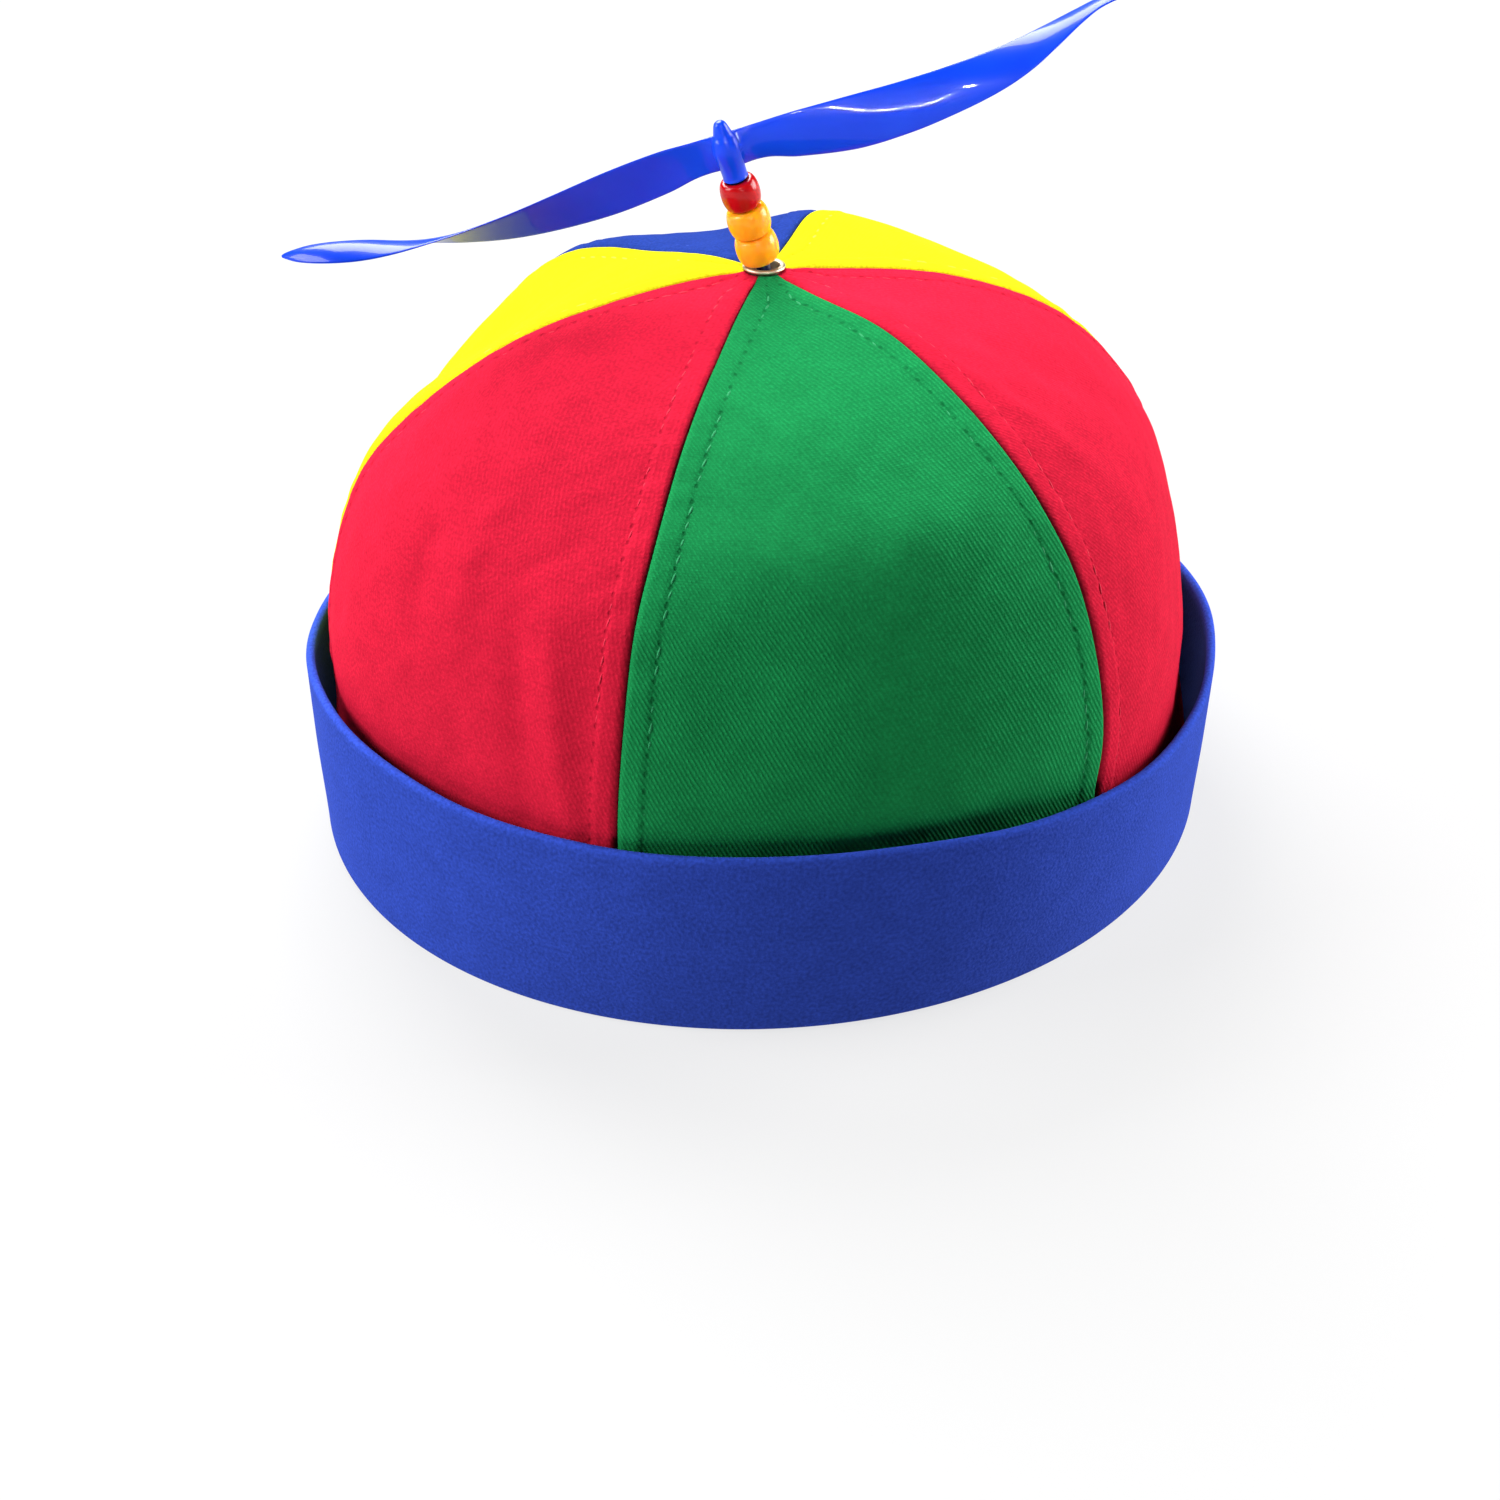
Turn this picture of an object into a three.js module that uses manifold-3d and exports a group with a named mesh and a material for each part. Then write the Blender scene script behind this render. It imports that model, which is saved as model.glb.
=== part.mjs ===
// Propeller beanie: a round cap of six cotton panels with a turned-up cuff and a metal eyelet at its top.
// A plastic post leans out of the eyelet, carries three beads, and a two-bladed propeller spins on it.
// Sizes are in millimetres. +Z is up, the green front panel faces -Y, and the hat stands on z = 0.

import * as THREE from 'three';
import { mergeVertices } from 'three/addons/utils/BufferGeometryUtils.js';
import Module from 'manifold-3d';

// Clearance that neighbouring pieces keep
const gap = 0.3;

// Crown: the widest half width and half depth, and the height of its cloth above the floor
const crownHalfWidth = 92.4;
const crownHalfDepth = 94.6;
const crownHeight = 118.3;
const panelThickness = 1.2;
const panelColumns = 10;
const panelRows = 16;

// Cuff: its rim's mean height, its wall, the fold that it stands on, and the widest opening behind its rim
const cuffHeight = 41;
const cuffThickness = 1.8;
const foldThickness = 2;
const foldRounding = 0.9;
const pocketOpening = 2.5;
const cuffSegments = 60;

// Eyelet: the clear hole, the barrel's wall, and the flanges above and below the cloth
const eyeletHoleRadius = 3.1;
const eyeletBarrelWall = 0.4;
const eyeletFlangeReach = 0.8;
const eyeletTopThickness = 0.8;
const eyeletUnderThickness = 0.6;

// Post: a rod with a foot that is held under the eyelet. It leans towards the left and a little to the
// front, and stands off the eyelet's centre that way too
const postRadius = 1.4;
const postFootRadius = 5.5;
const postFootThickness = 1.3;
const postFootDepth = 4.7;
const postLeanDeg = 18;
const postLeanAzimuthDeg = -68.7;
const postTipInHub = 8;
const postOffset = 0.35;

// Beads: barrel shapes on the post, the red one a little smaller
const beadRadius = 4.3;
const redBeadRadius = 3.9;
const beadHeight = 5.9;
const beadBoreRadius = 2;
const beadEndShare = 0.69;
const firstBeadRise = 1.35;

// Propeller: the boss and nub on its axis, and two twisted blades
const hubBottomRadius = 2.5;
const hubMiddleRadius = 3.1;
const hubHeight = 9.6;
const nubRadius = 1.55;
const nubHeight = 2.8;
const hubBoreClearance = 0.3;
const bladeLevel = 6.1;
const bladeReach = 87.5;
const bladeChord = 10.4;
const bladeThickness = 1;
const bladeCamber = 0.6;
const bladeHeadingDeg = -6;

// Crown from its lower edge to the eyelet's hole. Shares of crownHeight, crownHalfWidth and crownHalfDepth,
// where a width or depth of 0 is the edge of the hole
const crownProfile = [
  { height: 0.0, width: 1.03, depth: 0.904 },
  { height: 0.1, width: 1.018, depth: 0.936 },
  { height: 0.26, width: 1.002, depth: 0.975 },
  { height: 0.42, width: 1.0, depth: 0.998 },
  { height: 0.565, width: 0.962, depth: 0.978 },
  { height: 0.7, width: 0.893, depth: 0.905 },
  { height: 0.805, width: 0.776, depth: 0.794 },
  { height: 0.885, width: 0.634, depth: 0.645 },
  { height: 0.937, width: 0.478, depth: 0.49 },
  { height: 0.972, width: 0.3, depth: 0.31 },
  { height: 0.993, width: 0.11, depth: 0.115 },
  { height: 1.0, width: 0.0, depth: 0.0 },
];

// Panels in turn from the front one towards +X. Each runs from the seam before it to its own seam
const panels = [
  { name: 'panel_green_front', seamDeg: 29.6, colour: 0x1f8a4c },
  { name: 'panel_red_right', seamDeg: 90.3, colour: 0xdf2744 },
  { name: 'panel_yellow_right', seamDeg: 151, colour: 0xf7ea12 },
  { name: 'panel_blue_back', seamDeg: 212.7, colour: 0x3b50b4 },
  { name: 'panel_yellow_left', seamDeg: 269.1, colour: 0xf7ea12 },
  { name: 'panel_red_left', seamDeg: 330.7, colour: 0xdf2744 },
];

// Dents and fullness of the crown round the hat, every 30 degrees, as shares of its reach: below 0 the
// cloth sinks in, above 0 it stands out. The three levels are shares of the way up to the eyelet
const relief = [
  { azimuthDeg: 0, low: 0.0, middle: -0.004, high: 0.0 },
  { azimuthDeg: 30, low: 0.0, middle: 0.001, high: 0.018 },
  { azimuthDeg: 60, low: -0.044, middle: -0.013, high: 0.0 },
  { azimuthDeg: 90, low: -0.028, middle: 0.004, high: 0.006 },
  { azimuthDeg: 120, low: 0.0, middle: 0.005, high: 0.016 },
  { azimuthDeg: 150, low: 0.0, middle: 0.02, high: 0.028 },
  { azimuthDeg: 180, low: -0.005, middle: -0.016, high: -0.01 },
  { azimuthDeg: 210, low: 0.0, middle: 0.009, high: -0.013 },
  { azimuthDeg: 240, low: -0.045, middle: -0.075, high: -0.016 },
  { azimuthDeg: 270, low: -0.006, middle: -0.022, high: -0.008 },
  { azimuthDeg: 300, low: 0.0, middle: 0.006, high: -0.002 },
  { azimuthDeg: 330, low: 0.0, middle: -0.035, high: -0.013 },
];
const reliefLevels = [
  { column: 'x', level: 0.24, spread: 0.17 },
  { column: 'y', level: 0.52, spread: 0.17 },
  { column: 'z', level: 0.78, spread: 0.15 },
];
const reliefFadeAtEdge = 0.12;
const reliefFadeAtEyelet = 0.25;

// Rim of the cuff round the hat. Height is a share of cuffHeight, opening a share of pocketOpening
const rim = [
  { azimuthDeg: 0, height: 1.16, opening: 0.2 },
  { azimuthDeg: 45, height: 0.985, opening: 0.05 },
  { azimuthDeg: 90, height: 0.97, opening: 1.1 },
  { azimuthDeg: 135, height: 0.82, opening: 0.1 },
  { azimuthDeg: 180, height: 0.83, opening: 0.2 },
  { azimuthDeg: 225, height: 0.85, opening: 0.05 },
  { azimuthDeg: 270, height: 1.03, opening: 1.1 },
  { azimuthDeg: 315, height: 1.085, opening: 0.05 },
];

// Cuff wall from its fold to its rim: height and flare are shares of the way from the one to the other
const cuffRise = [
  { height: 0.0, flare: 0.0 },
  { height: 0.2, flare: 0.24 },
  { height: 0.45, flare: 0.51 },
  { height: 0.7, flare: 0.745 },
  { height: 0.88, flare: 0.9 },
  { height: 1.0, flare: 1.0 },
];

// Blade from root to tip. Station, rise and sweep are shares of bladeReach, chord is a share of bladeChord
const bladeSections = [
  { station: 0.029, chord: 0.71, pitchDeg: 90, rise: 0.0, sweep: 0.0 },
  { station: 0.066, chord: 0.71, pitchDeg: 90, rise: 0.0, sweep: 0.0 },
  { station: 0.15, chord: 0.885, pitchDeg: 86, rise: -0.009, sweep: -0.005 },
  { station: 0.277, chord: 1.0, pitchDeg: 78, rise: -0.021, sweep: -0.008 },
  { station: 0.39, chord: 0.95, pitchDeg: 70, rise: -0.025, sweep: -0.004 },
  { station: 0.5, chord: 0.865, pitchDeg: 58.5, rise: -0.022, sweep: 0.003 },
  { station: 0.61, chord: 0.805, pitchDeg: 41, rise: -0.01, sweep: 0.008 },
  { station: 0.68, chord: 0.763, pitchDeg: 27, rise: 0.004, sweep: 0.014 },
  { station: 0.74, chord: 0.72, pitchDeg: 12, rise: 0.021, sweep: 0.023 },
  { station: 0.81, chord: 0.66, pitchDeg: -5, rise: 0.043, sweep: 0.033 },
  { station: 0.85, chord: 0.61, pitchDeg: -12, rise: 0.054, sweep: 0.035 },
  { station: 0.89, chord: 0.55, pitchDeg: -16, rise: 0.061, sweep: 0.029 },
  { station: 0.93, chord: 0.46, pitchDeg: -18, rise: 0.064, sweep: 0.016 },
  { station: 0.965, chord: 0.32, pitchDeg: -18, rise: 0.064, sweep: 0.001 },
  { station: 0.99, chord: 0.16, pitchDeg: -18, rise: 0.063, sweep: -0.014 },
  { station: 1.0, chord: 0.06, pitchDeg: -18, rise: 0.062, sweep: -0.02 },
];

const wasm = await Module();
wasm.setup();

// Sizes that follow from the ones above
const eyeletBarrelRadius = eyeletHoleRadius + eyeletBarrelWall;
const eyeletFlangeRadius = eyeletBarrelRadius + eyeletFlangeReach;
const crownHoleRadius = eyeletBarrelRadius + gap;
const crownBase = foldThickness + gap;
const eyeletTop = crownHeight + gap + eyeletTopThickness;
const hubBoreRadius = postRadius + hubBoreClearance;
const beadPitch = beadHeight + gap;
const hubBottom = firstBeadRise + 3 * beadPitch;
const postTop = hubBottom + postTipInHub;
const rad = THREE.MathUtils.degToRad;

// Shapes made of closed loops of points. Each loop runs along one face and back along the other
function loftGeometry(loops, closesOnItself) {
  const size = loops[0].length;
  const points = loops.flat();
  const triangles = [];
  const spans = closesOnItself ? loops.length : loops.length - 1;
  for (let i = 0; i < spans; i += 1) {
    const here = i * size;
    const next = ((i + 1) % loops.length) * size;
    for (let j = 0; j < size; j += 1) {
      const k = (j + 1) % size;
      triangles.push(here + j, here + k, next + k);
      triangles.push(here + j, next + k, next + j);
    }
  }
  if (!closesOnItself) {
    const last = (loops.length - 1) * size;
    for (let j = 0; j < size / 2 - 1; j += 1) {
      const k = size - 1 - j;
      triangles.push(j, k, k - 1, j, k - 1, j + 1);
      triangles.push(last + j, last + k - 1, last + k, last + j, last + j + 1, last + k - 1);
    }
  }
  const geometry = new THREE.BufferGeometry().setFromPoints(points);
  geometry.setIndex(triangles);
  geometry.computeVertexNormals();
  return geometry;
}

// A turned shape about Z, from a profile of [radius, height] pairs
function turnedGeometry(profile, sides) {
  const outline = profile.map(([radius, height]) => new THREE.Vector2(radius, height));
  return new THREE.LatheGeometry(outline, sides).rotateX(Math.PI / 2);
}

function toSolid(geometry) {
  const bare = geometry.clone();
  bare.deleteAttribute('normal');
  bare.deleteAttribute('uv');
  const merged = mergeVertices(bare, 1e-4);
  const mesh = new wasm.Mesh({
    numProp: 3,
    vertProperties: new Float32Array(merged.attributes.position.array),
    triVerts: new Uint32Array(merged.index.array),
  });
  return new wasm.Manifold(mesh);
}

function fromSolid(solid) {
  const mesh = solid.getMesh();
  const geometry = new THREE.BufferGeometry();
  geometry.setAttribute('position', new THREE.BufferAttribute(mesh.vertProperties, 3));
  geometry.setIndex(new THREE.BufferAttribute(mesh.triVerts, 1));
  geometry.computeVertexNormals();
  return geometry;
}

// Crown surface
const crownCurve = new THREE.CatmullRomCurve3(
  crownProfile.map((row) => new THREE.Vector3(row.width, row.depth, row.height)),
);

const reliefCurve = new THREE.CatmullRomCurve3(
  relief.map((row) => new THREE.Vector3(row.low, row.middle, row.high)),
  true,
  'catmullrom',
);

// How far the crown stands out at a place, as a share of its plain reach. It fades out at the crown's
// edge, which the cuff holds, and at the eyelet
function fullnessAt(azimuth, level) {
  const turn = azimuth / (2 * Math.PI);
  const at = reliefCurve.getPoint(turn - Math.floor(turn));
  const sum = reliefLevels.reduce(
    (total, row) => total + at[row.column] * Math.exp(-(((level - row.level) / row.spread) ** 2)),
    0,
  );
  const fadeUp = THREE.MathUtils.smoothstep(level, 0, reliefFadeAtEdge);
  return sum * fadeUp * THREE.MathUtils.smoothstep(1 - level, 0, reliefFadeAtEyelet);
}

// A point of the crown, inset from its outer face. Level runs from 0 at the edge to 1 at the eyelet, and
// across from 0 to 1 between a panel's seams
function crownPoint(fromSeam, toSeam, level, across, inset) {
  const share = crownCurve.getPointAt(level);
  const hole = crownHoleRadius;
  const halfWidth = hole + (crownHalfWidth - inset - hole) * share.x;
  const halfDepth = hole + (crownHalfDepth - inset - hole) * share.y;
  const seamSlack = Math.asin(gap / 2 / Math.min(halfWidth, halfDepth));
  const azimuth = THREE.MathUtils.lerp(fromSeam + seamSlack, toSeam - seamSlack, across);
  const reach = 1 + fullnessAt(azimuth, level);
  const top = crownHeight - inset;
  return new THREE.Vector3(
    halfWidth * reach * Math.sin(azimuth),
    -halfDepth * reach * Math.cos(azimuth),
    crownBase + (top - crownBase) * share.z * (1 + (reach - 1) * share.z),
  );
}

function panelGeometry(fromSeam, toSeam) {
  const loops = [];
  for (let i = 0; i <= panelRows; i += 1) {
    const loop = [];
    for (let j = 0; j <= panelColumns; j += 1) {
      loop.push(crownPoint(fromSeam, toSeam, i / panelRows, j / panelColumns, 0));
    }
    for (let j = panelColumns; j >= 0; j -= 1) {
      loop.push(crownPoint(fromSeam, toSeam, i / panelRows, j / panelColumns, panelThickness));
    }
    loops.push(loop);
  }
  return loftGeometry(loops, false);
}

// Cuff: one band folded under the crown's edge and turned up round it
const rimCurve = new THREE.CatmullRomCurve3(
  rim.map((row) => new THREE.Vector3(row.height, row.opening, 0)),
  true,
  'catmullrom',
);

function cuffLoop(azimuth) {
  const at = rimCurve.getPoint(azimuth / (2 * Math.PI));
  const base = crownCurve.getPointAt(0);
  const hole = crownHoleRadius;
  const crownBaseWidth = hole + (crownHalfWidth - hole) * base.x;
  const crownBaseDepth = hole + (crownHalfDepth - hole) * base.y;
  const rimOffset = gap + at.y * pocketOpening;
  const rimHeight = at.x * cuffHeight;
  const wallPoint = (width, depth, height) => new THREE.Vector3(
    width * Math.sin(azimuth),
    -depth * Math.cos(azimuth),
    height,
  );
  const facePoint = (row, offset, bottom) => wallPoint(
    THREE.MathUtils.lerp(crownBaseWidth + gap, crownHalfWidth + rimOffset, row.flare) + offset,
    THREE.MathUtils.lerp(crownBaseDepth + gap, crownHalfDepth + rimOffset, row.flare) + offset,
    bottom + (rimHeight - bottom) * row.height,
  );
  const underCrown = panelThickness + gap;
  const outer = cuffRise.map((row) => facePoint(row, cuffThickness, foldRounding));
  const inner = cuffRise.map((row) => facePoint(row, 0, foldThickness)).reverse();
  return [
    wallPoint(
      crownBaseWidth + gap + cuffThickness - foldRounding,
      crownBaseDepth + gap + cuffThickness - foldRounding,
      0,
    ),
    ...outer,
    ...inner,
    wallPoint(crownBaseWidth - underCrown, crownBaseDepth - underCrown, foldThickness),
    wallPoint(crownBaseWidth - underCrown, crownBaseDepth - underCrown, 0),
  ];
}

function cuffGeometry() {
  const loops = [];
  for (let i = 0; i < cuffSegments; i += 1) {
    loops.push(cuffLoop((-2 * Math.PI * i) / cuffSegments + 2 * Math.PI));
  }
  return loftGeometry(loops, true);
}

// Eyelet: a flange on the cloth, a barrel through it and a rolled flange beneath
function eyeletGeometry() {
  const seat = crownHeight + gap;
  const under = crownHeight - panelThickness - gap;
  const foot = under - eyeletUnderThickness;
  const lip = 0.25;
  return turnedGeometry([
    [eyeletHoleRadius, foot],
    [eyeletFlangeRadius - lip, foot],
    [eyeletFlangeRadius, foot + lip],
    [eyeletFlangeRadius, under],
    [eyeletBarrelRadius, under],
    [eyeletBarrelRadius, seat],
    [eyeletFlangeRadius, seat],
    [eyeletFlangeRadius, eyeletTop - lip],
    [eyeletFlangeRadius - lip, eyeletTop],
    [eyeletHoleRadius + lip, eyeletTop],
    [eyeletHoleRadius, eyeletTop - lip],
    [eyeletHoleRadius, foot],
  ], 24);
}

// Post: one rod with its foot, on its own leaning axis. Height 0 is where the axis leaves the eyelet
function postGeometry() {
  return turnedGeometry([
    [0, -postFootDepth - postFootThickness],
    [postFootRadius, -postFootDepth - postFootThickness],
    [postFootRadius, -postFootDepth],
    [postRadius, -postFootDepth],
    [postRadius, postTop - postRadius / 2],
    [postRadius / 2, postTop],
    [0, postTop],
  ], 14);
}

function beadGeometry(radius) {
  const end = radius * beadEndShare;
  const roundSteps = 6;
  const profile = [[beadBoreRadius, -beadHeight / 2]];
  for (let i = 0; i <= roundSteps; i += 1) {
    const turn = Math.PI * (i / roundSteps - 0.5);
    profile.push([end + (radius - end) * Math.cos(turn), (beadHeight / 2) * Math.sin(turn)]);
  }
  profile.push([beadBoreRadius, beadHeight / 2]);
  profile.push([beadBoreRadius, -beadHeight / 2]);
  return turnedGeometry(profile, 16);
}

// Propeller: height 0 is the hub's lower face
function hubGeometry() {
  const boreTop = postTipInHub + gap;
  return turnedGeometry([
    [0, boreTop],
    [hubBoreRadius, boreTop],
    [hubBoreRadius, 0],
    [hubBottomRadius, 0],
    [hubMiddleRadius, hubHeight * 0.35],
    [hubMiddleRadius, hubHeight * 0.85],
    [hubMiddleRadius * 0.85, hubHeight * 0.96],
    [nubRadius, hubHeight],
    [nubRadius, hubHeight + nubHeight * 0.6],
    [nubRadius * 0.7, hubHeight + nubHeight * 0.9],
    [0, hubHeight + nubHeight],
  ], 16);
}

function bladeLoop(section) {
  const steps = 4;
  const pitch = rad(section.pitchDeg);
  const chord = section.chord * bladeChord;
  const faces = [0.5, -0.5].map((side) => {
    const face = [];
    for (let i = 0; i <= steps; i += 1) {
      const across = i / steps - 0.5;
      const crown = 1 - (2 * across) ** 2;
      const thickness = bladeThickness * (0.55 + 0.45 * crown) * Math.min(1, section.chord * 3);
      const lift = bladeCamber * section.chord * crown + side * thickness;
      face.push(new THREE.Vector3(
        section.station * bladeReach,
        section.sweep * bladeReach + chord * across * Math.cos(pitch) - lift * Math.sin(pitch),
        bladeLevel + section.rise * bladeReach + chord * across * Math.sin(pitch) + lift * Math.cos(pitch),
      ));
    }
    return face;
  });
  return [...faces[1], ...faces[0].reverse()];
}

function propellerGeometry() {
  const blade = loftGeometry(bladeSections.map(bladeLoop), false);
  const opposite = blade.clone().rotateZ(Math.PI);
  const solid = toSolid(hubGeometry()).add(toSolid(blade)).add(toSolid(opposite));
  return fromSolid(solid);
}

function finish(colour, roughness, metalness) {
  return new THREE.MeshStandardMaterial({ color: colour, roughness, metalness });
}

function piece(name, geometry, material) {
  const mesh = new THREE.Mesh(geometry, material);
  mesh.name = name;
  return mesh;
}

const beanie = new THREE.Group();
panels.forEach((panel, place) => {
  const seamBefore = place > 0 ? panels[place - 1].seamDeg : panels[panels.length - 1].seamDeg - 360;
  const geometry = panelGeometry(rad(seamBefore), rad(panel.seamDeg));
  beanie.add(piece(panel.name, geometry, finish(panel.colour, 0.9, 0)));
});
beanie.add(piece('cuff', cuffGeometry(), finish(0x2f45b0, 0.9, 0)));
beanie.add(piece('eyelet', eyeletGeometry(), finish(0xb8b09a, 0.35, 1)));

// The leaning stack of post, beads and propeller, standing on the centre of the eyelet's top
const lean = rad(postLeanDeg);
const leanAzimuth = rad(postLeanAzimuthDeg);
const postAxis = new THREE.Vector3(
  Math.sin(lean) * Math.sin(leanAzimuth),
  -Math.sin(lean) * Math.cos(leanAzimuth),
  Math.cos(lean),
);
const stack = new THREE.Group();
stack.position.set(postOffset * Math.sin(leanAzimuth), -postOffset * Math.cos(leanAzimuth), eyeletTop);
stack.quaternion.setFromUnitVectors(new THREE.Vector3(0, 0, 1), postAxis);
beanie.add(stack);
stack.add(piece('post', postGeometry(), finish(0x2338c8, 0.4, 0)));

[
  { name: 'bead_orange_lower', radius: beadRadius, colour: 0xff8a1c },
  { name: 'bead_orange_upper', radius: beadRadius, colour: 0xff8a1c },
  { name: 'bead_red', radius: redBeadRadius, colour: 0xc5182a },
].forEach((bead, place) => {
  const mesh = piece(bead.name, beadGeometry(bead.radius), finish(bead.colour, 0.25, 0));
  mesh.position.z = firstBeadRise + beadHeight / 2 + place * beadPitch;
  stack.add(mesh);
});

const propeller = piece('propeller', propellerGeometry(), finish(0x1a35d8, 0.2, 0));
propeller.position.z = hubBottom;
propeller.rotation.z = rad(bladeHeadingDeg);
stack.add(propeller);

export default beanie;
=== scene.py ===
import math

import bmesh
import bpy
import numpy as np
from mathutils import Matrix, Vector


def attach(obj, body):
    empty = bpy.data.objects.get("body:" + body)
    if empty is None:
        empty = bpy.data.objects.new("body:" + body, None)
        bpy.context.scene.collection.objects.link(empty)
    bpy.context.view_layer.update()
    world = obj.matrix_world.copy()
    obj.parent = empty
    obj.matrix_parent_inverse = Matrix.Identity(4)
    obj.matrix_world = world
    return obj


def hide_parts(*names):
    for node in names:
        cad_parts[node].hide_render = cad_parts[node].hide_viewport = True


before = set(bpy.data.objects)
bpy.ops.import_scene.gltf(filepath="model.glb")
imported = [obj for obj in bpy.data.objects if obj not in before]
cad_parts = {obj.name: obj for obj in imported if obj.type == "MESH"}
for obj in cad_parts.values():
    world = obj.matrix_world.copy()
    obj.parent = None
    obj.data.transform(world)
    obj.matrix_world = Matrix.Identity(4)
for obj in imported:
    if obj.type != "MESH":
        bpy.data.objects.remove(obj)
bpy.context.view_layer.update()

# Crown: six curved panels of dyed cotton twill, about 1 mm thick.
# They are sewn together face to face, the seam allowances are pressed open behind them, and a row of
# stitches on each side of every seam holds the allowances down.
MM = 0.001
CROWN_HALF_WIDTH = 92.4
CROWN_HALF_DEPTH = 94.6
CROWN_HEIGHT = 118.3
CROWN_BASE = 2.3
CROWN_HOLE_RADIUS = 3.8
PANEL_THICKNESS = 1.2
PANEL_COLUMNS = 112
PANEL_ROWS = 172
SEAM_ROLL = 0.7
SEAM_CLEARANCE = 0.02
STITCH_FROM_SEAM = 5.0
STITCH_PITCH = 3.4
STITCH_LENGTH = 2.3
STITCH_TILT_DEG = 9
THREAD_RADIUS = 0.24
ALLOWANCE_LIFT = 0.3
STITCH_CHANNEL = 0.3
PUCKER_DEPTH = 0.2
EDGE_ZONE = 8.0
EDGE_WIDTH_SHARE = 0.34
EDGE_COLUMN_SHARE = 0.16
STITCH_WIDTH_SHARE = 0.33
THREAD_SINK_SHARE = 0.62
NARROWEST_SEWN = 9
SOFT_WAVES = 0.3
FINE_WAVES = 0.08
INSIDE_SHARE = 0.3
LEVELS = 401
SLICES = 41

# Height, width and depth of the crown from its edge to the eyelet, as shares
CROWN_PROFILE = [
    (0.0, 1.03, 0.904),
    (0.1, 1.018, 0.936),
    (0.26, 1.002, 0.975),
    (0.42, 1.0, 0.998),
    (0.565, 0.962, 0.978),
    (0.7, 0.893, 0.905),
    (0.805, 0.776, 0.794),
    (0.885, 0.634, 0.645),
    (0.937, 0.478, 0.49),
    (0.972, 0.3, 0.31),
    (0.993, 0.11, 0.115),
    (1.0, 0.0, 0.0),
]

# Dents and fullness every 30 degrees round the crown, low, in the middle and high up
RELIEF = [
    (0.0, -0.004, 0.0),
    (0.0, 0.001, 0.018),
    (-0.044, -0.013, 0.0),
    (-0.028, 0.004, 0.006),
    (0.0, 0.005, 0.016),
    (0.0, 0.02, 0.028),
    (-0.005, -0.016, -0.01),
    (0.0, 0.009, -0.013),
    (-0.045, -0.075, -0.016),
    (-0.006, -0.022, -0.008),
    (0.0, 0.006, -0.002),
    (0.0, -0.035, -0.013),
]
RELIEF_LEVELS = [(0.24, 0.17), (0.52, 0.17), (0.78, 0.15)]

# Soft folds of the slack cloth: place of the middle by azimuth and level, half width and half length in
# millimetres, how far the fold's top leans to the right, and how high it stands. Below 0 it sinks in
FOLDS = [
    dict(zip(("azimuth", "level", "wide", "long", "lean_deg", "rise"), facts))
    for facts in [
        (-55.2, 0.363, 4.0, 13, -6, 0.52),
        (-62.8, 0.36, 4.5, 14, 0, -0.52),
        (-37.6, 0.27, 2.6, 15, -16, 0.75),
        (-43.0, 0.27, 3.5, 17, -14, -0.9),
        (-33.5, 0.25, 2.4, 15, -8, -0.3),
        (40.0, 0.575, 4.0, 27, -20, 0.59),
        (58.0, 0.62, 8.0, 25, -20, -0.59),
        (9.0, 0.175, 30.0, 6, 0, -2.5),
        (-13.0, 0.45, 15.0, 7, 6, 0.9),
        (11.0, 0.46, 17.0, 9, -8, 1.7),
        (-15.0, 0.31, 19.0, 24, 0, -1.7),
        (-52.0, 0.33, 24.0, 50, 0, -2.8),
        (-3.0, 0.34, 28.0, 9, 0, -1.0),
        (128.0, 0.3, 4.0, 18, 12, 0.52),
        (172.0, 0.28, 4.5, 16, -10, -0.59),
        (196.0, 0.36, 4.0, 20, 8, 0.45),
        (236.0, 0.26, 5.0, 16, 5, -0.52),
    ]
]
LEVEL_LENGTH = 172
FOLD_RADIUS = 90

# Panels in turn from the front one: the seam that each ends at, its dye and its sewing thread, how much
# its ribs show, and how dark the painted shade in its needle holes is
PANELS = [
    dict(zip(("name", "seam", "dye", "thread", "ribs", "painted_hole_shade"), facts))
    for facts in [
        ("green_front", 29.6, "#177E44", "#2C9860", 0.105, 0.35),
        ("red_right", 90.3, "#C01B35", "#D22642", 0.035, 0.25),
        ("yellow_right", 151.0, "#C0BB12", "#E8E440", 0.03, 0.2),
        # The back panel's blue is painted darker than the cuff's blue of the same twill: painted shade that
        # offsets the strong lamp behind the hat
        ("blue_back", 212.7, "#1E347F", "#304CAC", 0.05, 0.3),
        ("yellow_left", 269.1, "#C0BB12", "#E8E440", 0.03, 0.2),
        ("red_left", 330.7, "#C01B35", "#D22642", 0.035, 0.25),
    ]
]


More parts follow.
